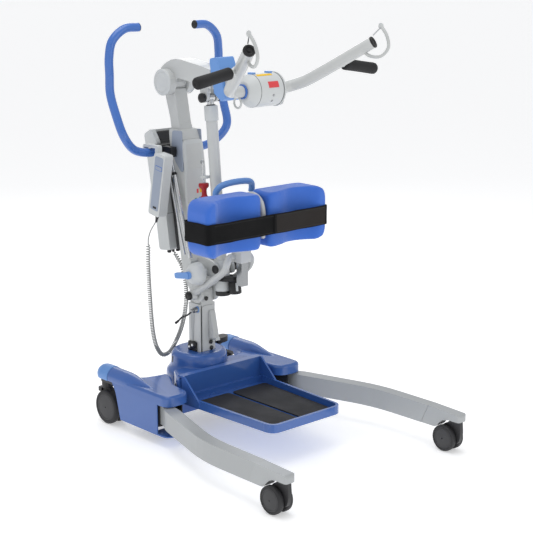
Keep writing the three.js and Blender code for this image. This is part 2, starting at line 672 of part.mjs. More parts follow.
function slingArm() {
  const tube = sweep(ARM, 16, 12, 10);
  const stub = rod(GRIP_STUB.from, GRIP_STUB.to, 9, 10);
  const hookPath = [
    [206, -330, 1092], [213, -352, 1078], [224, -382, 1079],
    [232, -400, 1102], [234, -392, 1132], [234, -371, 1157],
  ];
  const hook = sweep(hookPath, 4.5, 11, 6);
  const ring = new THREE.TorusGeometry(14, 3, 5, 10).rotateY(Math.PI / 2).translate(76, -146, 958);
  return join(tube, stub, hook, solidOf(ring));
}

function addBoom(mast) {
  const boom = addGroup(mast);
  addPart(boom, "boom_arm", boomArm(), GREY_PAINT, [0, ...BOOM_PIVOT]);
  addPart(boom, "boom_bracket", boomBracket(), LIGHT_BLUE);
  addPart(boom, "spreader_drum", spreaderDrum(), LIGHT_GREY);
  for (const x of TAB_X) {
    const tab = box([x - 7, x + 7], [DRUM.y - 8, DRUM.y + 8], [1024, 1036]);
    addPart(boom, `release_tab_${x > 0 ? "right" : "left"}`, tab, LIGHT_BLUE);
  }
  const arms = addGroup(boom);
  const arm = slingArm();
  const shaft = barX(-DRUM.half, DRUM.half + 1, [DRUM.y, DRUM.z], 14);
  const grip = rod(GRIP.from, GRIP.to, 16, 16);
  const gate = rod([222, -353, 1132], [232.5, -369.5, 1151.5], 1.8, 8);
  for (const side of [1, -1]) {
    const word = side > 0 ? "right" : "left";
    const own = (solid) => (side > 0 ? solid : mirrored(solid));
    addPart(arms, `sling_arm_${word}`, side > 0 ? join(arm, shaft) : own(arm), GREY_PAINT);
    addPart(arms, `hand_grip_${word}`, own(grip), BLACK);
    addPart(arms, `hook_gate_${word}`, own(gate), STEEL, [side * 222, -353, 1132]);
  }
}

// ---- Handset lead ----

// The lead leaves the handset, hangs in a curly loop behind the column and goes into the control box.
const LEAD_TOP = [[-90, 192, 605], [-90, 200, 588], [-90, 226, 556], [-90, 238, 530], [-90, 239, 516.3]];
const LEAD_CURL = [
  [-90, 239, 516], [-91, 240, 460], [-91, 238, 400], [-90, 235, 340], [-89, 232, 290], [-86, 228, 240],
  [-79, 221, 200], [-62, 216, 176], [-40, 212, 180], [-22, 206, 208], [-10, 192, 252], [-3, 180, 310],
  [-1, 176, 370], [-4, 182, 420], [-8, 192, 452], [-16, 213, 485],
];

function addCord(mast) {
  addPart(mast, "lead_curl", sweep(LEAD_CURL, CURL_R, 34), LIGHT_GREY);
  addPart(mast, "lead_top", sweep(LEAD_TOP, CORD_R, 10), LIGHT_GREY);
}

addBase();
addLegs();
addTray();
addMast();

export default lift;
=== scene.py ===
import math

import bmesh
import bpy
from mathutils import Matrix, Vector


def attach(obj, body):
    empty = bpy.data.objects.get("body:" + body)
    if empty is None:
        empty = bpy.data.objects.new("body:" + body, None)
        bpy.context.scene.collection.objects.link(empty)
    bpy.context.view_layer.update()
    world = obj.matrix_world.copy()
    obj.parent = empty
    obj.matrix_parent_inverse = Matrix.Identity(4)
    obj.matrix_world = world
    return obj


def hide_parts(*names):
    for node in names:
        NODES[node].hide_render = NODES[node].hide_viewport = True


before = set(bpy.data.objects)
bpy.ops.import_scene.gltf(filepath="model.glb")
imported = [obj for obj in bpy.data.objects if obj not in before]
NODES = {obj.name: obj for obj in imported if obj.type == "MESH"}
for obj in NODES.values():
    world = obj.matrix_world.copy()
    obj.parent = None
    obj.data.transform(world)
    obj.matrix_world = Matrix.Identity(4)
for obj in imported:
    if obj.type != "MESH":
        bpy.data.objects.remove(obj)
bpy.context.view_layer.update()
SCENE = bpy.context.scene
ORIGIN_SHIFT_Y = 160.0


def place(x, y, z):
    return Vector((x / 1000, (y + ORIGIN_SHIFT_Y) / 1000, z / 1000))


# ---- Camera ----

CAMERA_AT = (-2.461265, -2.725837, 1.372271)
CAMERA_PITCH = -13.3306
CAMERA_HEADING = -42.2512
CAMERA_LENS = 92.35

camera = bpy.data.objects.new("camera", bpy.data.cameras.new("camera"))
camera.data.lens = CAMERA_LENS
camera.data.sensor_width = 36.0
camera.data.clip_end = 50.0
camera.location = CAMERA_AT
camera.rotation_euler = (math.radians(90 + CAMERA_PITCH), 0.0, math.radians(CAMERA_HEADING))
SCENE.collection.objects.link(camera)
SCENE.camera = camera


# ---- Curves ----


def spline_point(points, i, t):
    """A point on the centripetal Catmull-Rom curve that the CAD's sweeps follow, in its span i."""
    p1, p2 = Vector(points[i]), Vector(points[i + 1])
    p0 = Vector(points[i - 1]) if i > 0 else 2 * p1 - p2
    p3 = Vector(points[i + 2]) if i + 2 < len(points) else 2 * p2 - p1
    d0, d1, d2 = (max((b - a).length, 1e-6) ** 0.5 for a, b in ((p0, p1), (p1, p2), (p2, p3)))
    m1 = ((p1 - p0) / d0 - (p2 - p0) / (d0 + d1) + (p2 - p1) / d1) * d1
    m2 = ((p2 - p1) / d1 - (p3 - p1) / (d1 + d2) + (p3 - p2) / d2) * d1
    return (
        p1
        + m1 * t
        + (-3 * p1 + 3 * p2 - 2 * m1 - m2) * t**2
        + (2 * p1 - 2 * p2 + m1 + m2) * t**3
    )


def spline(points, per_span=10):
    """The smooth curve through the points, as many short straight steps."""
    path = [spline_point(points, i, k / per_span) for i in range(len(points) - 1) for k in range(per_span)]
    return [*path, Vector(points[-1])]


def lengths_along(path):
    total = [0.0]
    for a, b in zip(path, path[1:]):
        total.append(total[-1] + (b - a).length)
    return total


def even_steps(path, step):
    """The same path with points a fixed distance apart."""
    along = lengths_along(path)
    count = max(2, round(along[-1] / step))
    result, j = [], 0
    for k in range(count + 1):
        s = along[-1] * k / count
        while j < len(path) - 2 and along[j + 1] < s:
            j += 1
        t = (s - along[j]) / max(along[j + 1] - along[j], 1e-9)
        result.append(path[j].lerp(path[j + 1], min(max(t, 0.0), 1.0)))
    return result


def frames_along(path):
    """A tangent and two sideways axes at each point, turned as little as possible from one to the next."""
    result = []
    side = None
    for i, point in enumerate(path):
        before, after = path[max(i - 1, 0)], path[min(i + 1, len(path) - 1)]
        tangent = (after - before).normalized()
        if side is None:
            side = tangent.orthogonal().normalized()
        side = (side - tangent * side.dot(tangent)).normalized()
        result.append((point, tangent, side, tangent.cross(side)))
    return result


# ---- The handset's curly lead ----

LEAD_TOP = [(-90, 192, 605), (-90, 200, 588), (-90, 226, 556), (-90, 238, 530), (-90, 239, 516.3)]
LEAD_CURL = [
    (-90, 239, 516), (-91, 240, 460), (-91, 238, 400), (-90, 235, 340), (-89, 232, 290), (-86, 228, 240),
    (-79, 221, 200), (-62, 216, 176), (-40, 212, 180), (-22, 206, 208), (-10, 192, 252), (-3, 180, 310),
    (-1, 176, 370), (-4, 182, 420), (-8, 192, 452), (-16, 213, 485),
]
LEAD_END = [(-16, 213, 485), (-17, 217, 490), (-17, 219, 495)]
LEAD_DIAMETER = 3.4
CURL_RADIUS = 5.2
PITCH_AT_BOTTOM = 4.3
PITCH_AT_TOP = 8.0
CURL_BOTTOM, CURL_TOP = 170, 516
CURL_LEAD_IN = 10.0
POINTS_PER_TURN = 14


def curly_lead():
    """The lead's centreline: straight out of the handset, wound into a spring, straight into the box."""
    axis = even_steps(spline(LEAD_CURL, 20), PITCH_AT_BOTTOM / POINTS_PER_TURN)
    along = lengths_along(axis)
    path = spline(LEAD_TOP, 6)[:-1]
    turn = 0.0
    for k, ((point, _, side, up), s) in enumerate(zip(frames_along(axis), along)):
        ramp = min(1.0, s / CURL_LEAD_IN, (along[-1] - s) / CURL_LEAD_IN)
        radius = CURL_RADIUS * ramp * ramp * (3 - 2 * ramp)
        # The weight below stretches the spring more the higher it is.
        height = (point.z - CURL_BOTTOM) / (CURL_TOP - CURL_BOTTOM)
        pitch = PITCH_AT_BOTTOM + (PITCH_AT_TOP - PITCH_AT_BOTTOM) * max(height, 0.0) ** 1.3
        turn += 2 * math.pi * (s - along[max(k - 1, 0)]) / pitch
        path.append(point + side * (radius * math.cos(turn)) + up * (radius * math.sin(turn)))
    return path + spline(LEAD_END, 3)[1:]


lead_path = curly_lead()
lead_curve = bpy.data.curves.new("handset_lead", "CURVE")
lead_curve.dimensions = "3D"
lead_curve.bevel_depth = LEAD_DIAMETER / 2000
lead_curve.bevel_resolution = 2
lead_spline = lead_curve.splines.new("POLY")
lead_spline.points.add(len(lead_path) - 1)
for lead_point, at in zip(lead_spline.points, lead_path):
    lead_point.co = (*place(*at), 1.0)
lead_spline.use_smooth = True
lead = bpy.data.objects.new("handset_lead", lead_curve)
SCENE.collection.objects.link(lead)


# ---- Materials ----


def linear(colour):
    channels = [(colour >> shift & 255) / 255 for shift in (16, 8, 0)]
    return [c / 12.92 if c <= 0.04045 else ((c + 0.055) / 1.055) ** 2.4 for c in channels]


def node(tree, kind, inputs=(), **settings):
    made = tree.nodes.new(kind)
    for key, value in settings.items():
        setattr(made, key, value)
    for key, value in dict(inputs).items():
        if isinstance(value, bpy.types.NodeSocket):
            tree.links.new(value, made.inputs[key])
        else:
            made.inputs[key].default_value = value
    return made


def tinted(tree, factor, colour, spread):
    """Two tints of a colour mixed by a factor."""
    dark = [*(c * (1 - spread) for c in colour), 1.0]
    light = [*(min(c * (1 + spread), 1.0) for c in colour), 1.0]
    mix = node(tree, "ShaderNodeMix", data_type="RGBA")
    tree.links.new(factor, mix.inputs[0])
    mix.inputs[6].default_value = dark
    mix.inputs[7].default_value = light
    return mix.outputs[2]


def surface(
    name, colour, roughness, grain=700, bump=0.12, mottle=0.05, stretch=(1, 1, 1), wear=0.0, **fixed
):
    """A moulded, painted or metal surface: cloudy colour, uneven gloss, a fine grain and rubbed edges."""
    material = bpy.data.materials.new(name)
    material.use_nodes = True
    tree = material.node_tree
    shader = tree.nodes["Principled BSDF"]
    for key, value in fixed.items():
        shader.inputs[key.replace("_", " ").title().replace("Ior", "IOR")].default_value = value
    where = node(tree, "ShaderNodeTexCoord").outputs["Object"]
    cloud = node(tree, "ShaderNodeTexNoise", {"Vector": where, "Scale": 11.0, "Detail": 4.0}).outputs["Fac"]
    stretched = node(tree, "ShaderNodeMapping", {"Vector": where, "Scale": stretch}).outputs["Vector"]
    fine = node(
        tree, "ShaderNodeTexNoise", {"Vector": stretched, "Scale": grain, "Detail": 2.0}
    ).outputs["Fac"]
    base = tinted(tree, cloud, linear(colour), mottle)
    if wear:
        edge = node(tree, "ShaderNodeNewGeometry").outputs["Pointiness"]
        rubbed = node(
            tree, "ShaderNodeMapRange", {"Value": edge, "From Min": 0.52, "From Max": 0.62, "To Max": wear}
        )
        paler = node(tree, "ShaderNodeMix", data_type="RGBA")
        tree.links.new(rubbed.outputs[0], paler.inputs[0])
        tree.links.new(base, paler.inputs[6])
        paler.inputs[7].default_value = [*(min(1.0, c * 1.5 + 0.08) for c in linear(colour)), 1.0]
        base = paler.outputs[2]
    tree.links.new(base, shader.inputs["Base Color"])
    gloss = node(
        tree,
        "ShaderNodeMapRange",
        {
            "Value": cloud, "From Min": 0.3, "From Max": 0.7, "To Min": roughness * 0.85,
            "To Max": roughness * 1.15,
        },
    )
    tree.links.new(gloss.outputs[0], shader.inputs["Roughness"])
    relief = node(tree, "ShaderNodeBump", {"Height": fine, "Strength": bump, "Distance": 0.0004})
    tree.links.new(relief.outputs["Normal"], shader.inputs["Normal"])
    return material


def woven(name, colour, roughness, threads, depth=0.5, mottle=0.12, **fixed):
    """Cloth: two sets of threads that cross, with cloudy wear over them."""
    material = surface(name, colour, roughness, mottle=mottle, **fixed)
    tree = material.node_tree
    shader = tree.nodes["Principled BSDF"]
    where = node(tree, "ShaderNodeTexCoord").outputs["Object"]
    waves = [
        node(
            tree, "ShaderNodeTexWave", {"Vector": where, "Scale": threads}, bands_direction=axis
        ).outputs["Fac"]
        for axis in ("X", "Z")
    ]
    crossed = node(tree, "ShaderNodeMath", {0: waves[0], 1: waves[-1]}, operation="MAXIMUM").outputs[0]
    relief = node(tree, "ShaderNodeBump", {"Height": crossed, "Strength": depth, "Distance": 0.0006})
    tree.links.new(relief.outputs["Normal"], shader.inputs["Normal"])
    return material


def cellular(name, colour, roughness, cells, depth=0.5, **fixed):
    """Foam or pimpled rubber: small round cells."""
    material = surface(name, colour, roughness, mottle=0.15, **fixed)
    tree = material.node_tree
    where = node(tree, "ShaderNodeTexCoord").outputs["Object"]
    pimples = node(tree, "ShaderNodeTexVoronoi", {"Vector": where, "Scale": cells}).outputs["Distance"]
    relief = node(tree, "ShaderNodeBump", {"Height": pimples, "Strength": depth, "Distance": 0.0008})
    tree.links.new(relief.outputs["Normal"], tree.nodes["Principled BSDF"].inputs["Normal"])
    return material


BLUE = surface("cover_blue", 0x3862AA, 0.24, grain=500, bump=0.05, coat_weight=0.35, wear=0.25)
BAR_BLUE = surface("bar_blue", 0x4271C0, 0.26, grain=260, bump=0.1, coat_weight=0.3)
LIGHT_BLUE = surface("plastic_light_blue", 0x6392D2, 0.36, bump=0.08, wear=0.2)
GREY = surface("paint_grey", 0xC3C5C4, 0.32, grain=420, bump=0.1, mottle=0.03, wear=0.15, coat_weight=0.15)
LEG_GREY = surface(
    "paint_leg_grey", 0xA9ACAD, 0.36, grain=420, bump=0.1, mottle=0.03, wear=0.2, metallic=0.15
)
PALE = surface("plastic_pale", 0xCDD0D0, 0.42, grain=900, bump=0.1, mottle=0.03)
SLATE = surface("plastic_slate", 0x99A3B4, 0.45, grain=900, bump=0.1, mottle=0.03)
DARK = surface("plastic_dark", 0x2C2C2E, 0.48, grain=1100, bump=0.25, mottle=0.1, wear=0.1)
BLACK = surface("plastic_black", 0x121214, 0.4, grain=1100, bump=0.2, mottle=0.1)
RUBBER = surface("tyre_rubber", 0x2A2A2C, 0.62, grain=900, bump=0.3, mottle=0.12)
HUB = surface("hub_plastic", 0x3A3A3C, 0.5, grain=1000, bump=0.25, mottle=0.08)
STEEL = surface("steel_brushed", 0x9A9C9E, 0.26, grain=60, bump=0.06, stretch=(14, 14, 1), metallic=1.0)
CHROME = surface("steel_bright", 0xC9CBCD, 0.14, grain=90, bump=0.02, metallic=1.0)
RED = surface("plastic_red", 0xA8131F, 0.36, bump=0.08)
PATCH_RED = surface("patch_red", 0xE0454B, 0.5, mottle=0.1)
PATCH_YELLOW = surface("patch_yellow", 0xF2C417, 0.5)
PATCH_GREEN = surface("patch_green", 0x2E9A52, 0.5)
SHEATH = surface("lead_sheath", 0xA8A9A7, 0.5, grain=1200, bump=0.08)
MAT = cellular("mat_rubber", 0x222225, 0.72, 420, depth=0.7)
FOAM = cellular("grip_foam", 0x1B1B1D, 0.75, 900, depth=0.35)
PAD = woven("pad_cover", 0x2F6CD2, 0.6, 480, depth=0.25, mottle=0.08, sheen_weight=0.25)
WEBBING = woven("strap_webbing", 0x0B0B0D, 0.7, 330, depth=0.8, specular_ior_level=0.2)
WEBBING_BROWN = woven(
    "strap_loop_side", 0x2E2A28, 0.82, 260, depth=0.8, mottle=0.3, specular_ior_level=0.25
)

lead.data.materials.append(SHEATH)


# ---- Shapes: each is (vertices, faces) in millimetres ----


def towards(start, end, distance):
    length = math.dist(start[:2], end[:2])
    t = min(distance / length, 0.5)
    return [start[k] + t * (end[k] - start[k]) for k in (0, 1)]


def rounded(outline, steps=6):
    """Corners are (u, v) or (u, v, r), where r is how far from the corner its rounding starts."""
    ring = []
    for i, corner in enumerate(outline):
        if len(corner) < 3:
            ring.append(tuple(corner))
            continue
        a = towards(corner, outline[i - 1], corner[2])
        b = towards(corner, outline[(i + 1) % len(outline)], corner[2])
        for k in range(steps + 1):
            t = k / steps
            ring.append(
                tuple((1 - t) ** 2 * a[j] + 2 * t * (1 - t) * corner[j] + t * t * b[j] for j in (0, 1))
            )
    return ring


def inset(outline, distance):
    """The outline moved inwards; its corners run anticlockwise."""
    edges = []
    for i, a in enumerate(outline):
        b = outline[(i + 1) % len(outline)]
        length = math.dist(a[:2], b[:2])
        normal = (-(b[1] - a[1]) / length, (b[0] - a[0]) / length)
        edges.append((normal, normal[0] * a[0] + normal[1] * a[1] + distance))
    moved = []
    for i, corner in enumerate(outline):
        (p, s), (q, t) = edges[i - 1], edges[i]
        det = p[0] * q[1] - p[1] * q[0]
        point = ((s * q[1] - t * p[1]) / det, (t * p[0] - s * q[0]) / det)
        moved.append((*point, max(corner[2] - distance, 1)) if len(corner) > 2 else point)
    return moved


PUT = {
    "x": lambda u, v, w: (w, u, v),
    "y": lambda u, v, w: (u, w, v),
    "z": lambda u, v, w: (u, v, w),
}


def slab(axis, outline, low, high, steps=6):
    """An outline given depth: "x" takes (y, z) corners, "y" takes (x, z) and "z" takes (x, y)."""
    ring = rounded(outline, steps)
    n = len(ring)
    vertices = [PUT[axis](u, v, w) for w in (low, high) for u, v in ring]
    sides = [(i, (i + 1) % n, n + (i + 1) % n, n + i) for i in range(n)]
    return vertices, [tuple(range(n)), tuple(range(n, 2 * n)), *sides]


def block(xs, ys, zs):
    return slab("z", [(xs[0], ys[0]), (xs[1], ys[0]), (xs[1], ys[1]), (xs[0], ys[1])], *zs)


def rings(sections, closed=False):
    """Skins a row of rings that hold the same number of points; open rows get end caps."""
    n = len(sections[0])
    vertices = [tuple(p) for ring in sections for p in ring]
    count = len(sections)
    rows = range(count if closed else count - 1)
    faces = [
        (k * n + i, k * n + (i + 1) % n, ((k + 1) % count) * n + (i + 1) % n, ((k + 1) % count) * n + i)
        for k in rows
        for i in range(n)
    ]
    if not closed:
        faces += [tuple(range(n)), tuple(range((count - 1) * n, count * n))]
    return vertices, faces


def turned(profile, start, direction, sides=40, closed=False):
    """A turned piece: (radius, height) pairs about an axis from a point along a direction."""
    start, direction = Vector(start), Vector(direction).normalized()
    side = direction.orthogonal().normalized()
    up = direction.cross(side)
    sections = []
    for radius, height in profile:
        middle = start + direction * height
        angles = (2 * math.pi * k / sides for k in range(sides))
        r = max(radius, 0.01)
        sections.append([middle + side * (r * math.cos(a)) + up * (r * math.sin(a)) for a in angles])
    return rings(sections, closed)


def rod(start, end, radius, sides=28, edge=0.8):
    """A round bar with softened ends."""
    length = math.dist(start, end)
    edge = min(edge, radius / 3, length / 3)
    profile = [(radius - edge, 0), (radius, edge), (radius, length - edge), (radius - edge, length)]
    return turned(profile, start, Vector(end) - Vector(start), sides)


def bar_x(low, high, centre, radius, sides=28, edge=0.8):
    return rod((low, *centre), (high, *centre), radius, sides, edge)


def tube(points, radius, sides=20, per_span=10, dome=False):
    """A round tube along the smooth curve through the points."""
    path = spline(points, per_span)
    sections = []
    for point, _, side, up in frames_along(path):
        angles = (2 * math.pi * k / sides for k in range(sides))
        sections.append(
            [point + side * (radius * math.cos(a)) + up * (radius * math.sin(a)) for a in angles]
        )
    if dome:
        sections = [*dome_rings(sections[0], path[0] - path[1]), *sections]
        sections += reversed(dome_rings(sections[-1], path[-1] - path[-2]))
    return rings(sections)


def dome_rings(ring, outwards):
    """Smaller and smaller rings that close a tube's end in a low dome, the smallest first."""
    middle = sum(ring, Vector()) / len(ring)
    radius = (ring[0] - middle).length
    outwards = outwards.normalized()
    result = []
    for angle in (80, 60, 40, 20):
        a = math.radians(angle)
        result.append(
            [middle + (p - middle) * math.cos(a) + outwards * (0.5 * radius * math.sin(a)) for p in ring]
        )
    return result


def mirrored(shape):
    vertices, faces = shape
    return [(-x, y, z) for x, y, z in (tuple(v) for v in vertices)], faces


def both_ways(points):
    """A path on one side of x = 0, carried on to its mirror image; its points run towards the middle."""
    return [(-x, y, z) for x, y, z in points] + [tuple(p) for p in reversed(points)]


def together(*shapes):
    """Several shapes as one list of vertices and faces."""
    vertices, faces = [], []
    for more_vertices, more_faces in shapes:
        base = len(vertices)
        vertices += [tuple(v) for v in more_vertices]
        faces += [tuple(i + base for i in face) for face in more_faces]
    return vertices, faces


# ---- Pieces ----


def raw_object(name, shape):
    vertices, faces = shape
    mesh = bpy.data.meshes.new(name)
    mesh.from_pydata([place(*v) for v in vertices], [], faces)
    work = bmesh.new()
    work.from_mesh(mesh)
    bmesh.ops.remove_doubles(work, verts=work.verts, dist=2e-6)
    bmesh.ops.recalc_face_normals(work, faces=work.faces)
    work.to_mesh(mesh)
    work.free()
    made = bpy.data.objects.new(name, mesh)
    SCENE.collection.objects.link(made)
    return made


def settle(thing):
    """Applies the modifiers."""
    graph = bpy.context.evaluated_depsgraph_get()
    mesh = bpy.data.meshes.new_from_object(thing.evaluated_get(graph))
    thing.modifiers.clear()
    thing.data = mesh
    return thing


def carve(thing, tools, operation="DIFFERENCE"):
    for k, shape in enumerate(tools):
        tool = raw_object(f"tool_{k}", shape)
        step = thing.modifiers.new("carve", "BOOLEAN")
        step.operation = operation
        step.object = tool
        step.solver = "EXACT"
        settle(thing)
        bpy.data.objects.remove(tool)
    return thing


def soften(thing, width, segments=3, angle=35, clean=True):
    """Rounds the sharp edges by a width in millimetres and smooths the shading of the rest."""
    if width:
        if clean:
            flat = thing.modifiers.new("flat", "DECIMATE")
            flat.decimate_type = "DISSOLVE"
            flat.angle_limit = math.radians(0.7)
        bevel = thing.modifiers.new("edges", "BEVEL")
        bevel.width = width / 1000
        bevel.segments = segments
        bevel.limit_method = "ANGLE"
        bevel.angle_limit = math.radians(angle)
    mesh = thing.data
    mesh.polygons.foreach_set("use_smooth", [True] * len(mesh.polygons))
    mesh.set_sharp_from_angle(angle=math.radians(angle))
    if width:
        even = thing.modifiers.new("even", "WEIGHTED_NORMAL")
        even.keep_sharp = False
    return thing


def own(thing, material, body, replaces=()):
    thing.data.materials.clear()
    thing.data.materials.append(material)
    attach(thing, body)
    if replaces:
        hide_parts(*([replaces] if isinstance(replaces, str) else replaces))
    return thing


def piece(name, shape, material, body, replaces=(), slot=None, bevel=0, segments=3, angle=35, cuts=()):
    thing = raw_object(name, shape)
    carve(thing, cuts)
    soften(thing, bevel, segments, angle, clean=bool(cuts))
    return own(thing, material, body, replaces)


def dress(name, material, bevel=1.5, segments=3, angle=35):
    """A CAD node that keeps its own shape gets its finish and softened edges."""
    thing = NODES[name]
    if not thing.data.materials:
        thing.data.materials.append(material)
    for k in range(len(thing.material_slots)):
        thing.material_slots[k].material = material
    soften(thing, bevel, segments, angle)


def side_word(sign):
    return "right" if sign > 0 else "left"


def sided(shape, sign):
    return shape if sign > 0 else mirrored(shape)


def dress_pair(name, *finish):
    for word in ("right", "left"):
        dress(f"{name}_{word}", *finish)


def pair(name, shape, material, body, replaces="", cuts=(), **settings):
    """A piece on the +x side and its mirror image, named for their sides."""
    for sign in (1, -1):
        side = side_word(sign)
        stands_for = f"{replaces}_{side}" if replaces else ()
        tools = [sided(tool, sign) for tool in cuts]
        piece(f"{name}_{side}", sided(shape, sign), material, body, stands_for, cuts=tools, **settings)


# ---- Base ----

TURRET = (0, 120)
REAR_STEM = (232, 262)
FRONT_STEM = (323.5, -600)
MAST_PIVOT = (91, 380)
COLUMN_HALF, COLUMN_FRONT, COLUMN_BACK = 29, 81, 130
COVER_LOW, COVER_HIGH, COVER_WALL = 30, 150, 3
COVER_OUTLINE = [
    (190, -51, 24), (257, -51, 28), (257, 225), (207, 225), (203, 175, 16), (190, 148, 16), (147, 137),
    (114, 131, 8), (124, 96), (162, 33), (168, -30, 12),
]
CROWN_PROFILE = [(5, 30), (10, 62), (16, 92), (21, 116), (25, 136), (27, 156), (27, 225)]


def round_top(thing, height, width, segments=5):
    """Rounds only the edges that lie at one height."""
    work = bmesh.new()
    work.from_mesh(thing.data)
    level = height / 1000
    top = [e for e in work.edges if all(abs(v.co.z - level) < 1e-5 for v in e.verts)]
    bmesh.ops.bevel(work, geom=top, offset=width / 1000, segments=segments, profile=0.5, affect="EDGES")
    work.to_mesh(thing.data)
    work.free()


def side_cover(sign):
    shell = raw_object(
        f"cover_shell_{side_word(sign)}", sided(slab("z", COVER_OUTLINE, COVER_LOW, COVER_HIGH), sign)
    )
    round_top(shell, COVER_HIGH, 9)
    crown = turned(CROWN_PROFILE, (REAR_STEM[0], 0, 144), (0, 1, 0), 48)
    carve(shell, [sided(crown, sign)], "UNION")
    tools = [
        slab("z", inset(COVER_OUTLINE, COVER_WALL), COVER_LOW - 5, COVER_HIGH - COVER_WALL),
        rod((REAR_STEM[0], 150, 144), (REAR_STEM[0], 240, 144), 24, 32),
        block((120, 300), (-90, -5), (0, 120)),
        block((160, 254), (-60, 30), (0, 120)),
        slab(
            "x", [(150, 20), (166, 20), (190, 112, 20), (206, 134.5), (300, 134.5), (300, 10), (150, 10)],
            180, 300,
        ),
        block((90, 186), (24, 84), (0, 138)),
    ]
    carve(shell, [sided(tool, sign) for tool in tools])
    lip = slab("z", inset([*COVER_OUTLINE[:2], (257, 20), (190, 20)], 0.2), COVER_LOW, 34)
    carve(shell, [sided(lip, sign)], "UNION")
    soften(shell, 0.8, 2, clean=False)
    own(shell, BLUE, "base", f"side_cover_{side_word(sign)}")


def arm_caps():
    profile = [
        (27, 226.5), (28.5, 227.6), (28.5, 260), (27.8, 268), (25.5, 276), (21, 283), (14, 287.8), (6, 290),
    ]
    pair(
        "rear_cap", turned(profile, (REAR_STEM[0], 0, 144), (0, 1, 0), 48), LIGHT_BLUE, "base", "arm_cap",
        cuts=[block((180, 300), (200, 300), (90, 134))], slot="light_blue_plastic", bevel=1,
    )


def centre_cover():
    outline = [(-157, 22), (157, 22), (152, 38), (112, 100), (-112, 100), (-152, 38)]
    shell = raw_object("turret_shell", slab("z", outline, 60, 168))
    round_top(shell, 168, 9)
    outer = [
        (98, 60), (97.5, 138), (96, 146), (
            92.5, 150.5
        ), (89, 155), (86, 160), (84.2, 166), (83, 172), (82.5, 178),
        (82, 190), (81, 195), (79, 199), (76, 202.5), (72, 205), (68, 206.5), (64, 207),
    ]
    inner = [
        (95, 50), (93, 145), (86, 153), (81.5, 163), (79.5, 176), (79, 189), (76, 197), (70, 202), (62, 204)
    ]
    carve(shell, [turned(outer, (*TURRET, 0), (0, 0, 1), 72)], "UNION")
    tools = [
        slab("z", inset(outline, 3), 40, 165),
        turned(inner, (*TURRET, 0), (0, 0, 1), 48),
        block((-COLUMN_HALF - 2, COLUMN_HALF + 2), (COLUMN_FRONT - 2, COLUMN_BACK + 2), (190, 220)),
        block((50, 110), (136, 170), (182, 199)),
        block((-200, 200), (28, 80), (40, 138)),
    ]
    carve(shell, tools)
    soften(shell, 0.8, 2, clean=False)
    own(shell, BLUE, "base", "centre_cover")


for way in (1, -1):
    side_cover(way)
arm_caps()
centre_cover()
dress("base_frame", DARK, 1.5, 2)
dress("lower_column", GREY, 3.0)
dress("spread_pedal", BLACK, 5.0, 5)


def turret_details():
    # A black patch on the turret's near side: painted shade of a slot, where no opening is cut.
    vertices, faces = slab("x", [(-5, 152, 4), (5, 152, 4), (5, 190, 5), (-5, 190, 5)], -83.2, -79)
    turn = math.radians(-22)
    turned_slot = [
        (x * math.cos(turn) - y * math.sin(turn), TURRET[1] + x * math.sin(turn) + y * math.cos(turn), z)
        for x, y, z in vertices
    ]
    piece("turret_slot_shade", (turned_slot, faces), BLACK, "base", bevel=0.8)
    # A black sheet inside each side cover's hollow: painted shade where the floor would show between cover
    # and tray.
    pair("cover_shade_panel", block((200, 203), (-48, 18), (34.5, 119)), BLACK, "base")
    # A black block in the opening between the side and centre covers where the beam passes: painted shade in
    # the gap.
    gap_shade_block = slab("y", [(140, 86), (176, 86), (176, 134, 8), (140, 134, 10)], 40, 70)
    pair("beam_gap_shade", gap_shade_block, BLACK, "base", bevel=2)
    side = -COLUMN_HALF - 0.3
    knob = together(
        bar_x(side - 9.7, side, (103, 226), 11.5, edge=2.5),
        bar_x(side - 9.7, side, (117, 218), 11.5, edge=2.5),
        block((side - 6.7, side), (92, 128), (207, 234)),
    )
    piece("column_knob", knob, BLACK, "base", bevel=1.5)
    for k, (y, z) in enumerate(((103, 226), (117, 218))):
        piece(
            f"column_knob_screw_{k}", bar_x(side - 12.2, side - 8.7, (y, z), 4.6, edge=1.6), CHROME, "base"
        )


def column_details():
    front = COLUMN_FRONT
    panel = slab("y", [(-20, 206), (27, 206), (27, 344, 4), (-20, 344, 10)], front - 2.2, front - 0.1)
    piece("column_panel", panel, GREY, "base", bevel=1)
    groove = slab("y", [(-24, 206), (-21, 206), (-21, 346, 10), (-24, 348, 12)], front - 0.7, front - 0.1)
    piece("column_groove", groove, BLACK, "base")
    rib = slab("x", [(79, 330), (72, 326, 8), (58, 262, 6), (58, 246, 3), (79, 243)], 4, 24)
    piece("column_rib", rib, GREY, "base", bevel=3)
    foot = slab("x", [(79, 256), (62, 252, 3), (55, 244, 3), (55, 238, 2), (79, 238)], 12, 27)
    piece("column_rib_foot", foot, PALE, "base", bevel=1.5)
    scoop = slab(
        "x", [(104, 322, 6), (122, 318, 8), (116, 236, 4), (110, 232, 4)], -COLUMN_HALF - 1.4,
        -COLUMN_HALF + 0.1,
    )
    piece("column_scoop", scoop, LEG_GREY, "base", bevel=0.7)
    bolts = [(-6, 366), (10, 232), (12, 214)]
    for k, (x, z) in enumerate(bolts):
        bolt = turned(
            [(0, 0), (5.5, 0), (6.5, 1.5), (6.5, 3), (2.5, 4.2), (0, 4.2)], (x, front - 2, z), (0, -1, 0),
            24,
        )
        piece(f"column_bolt_{k}", bolt, BLACK, "base")
    cap = [(12, 0), (12.6, 1.5), (12, 7), (9, 9.5), (5, 10), (4, 8.6), (0, 8.6)]
    pair("fold_pin_cap", turned(cap, (57.2, *MAST_PIVOT), (1, 0, 0)), BLACK, "base")


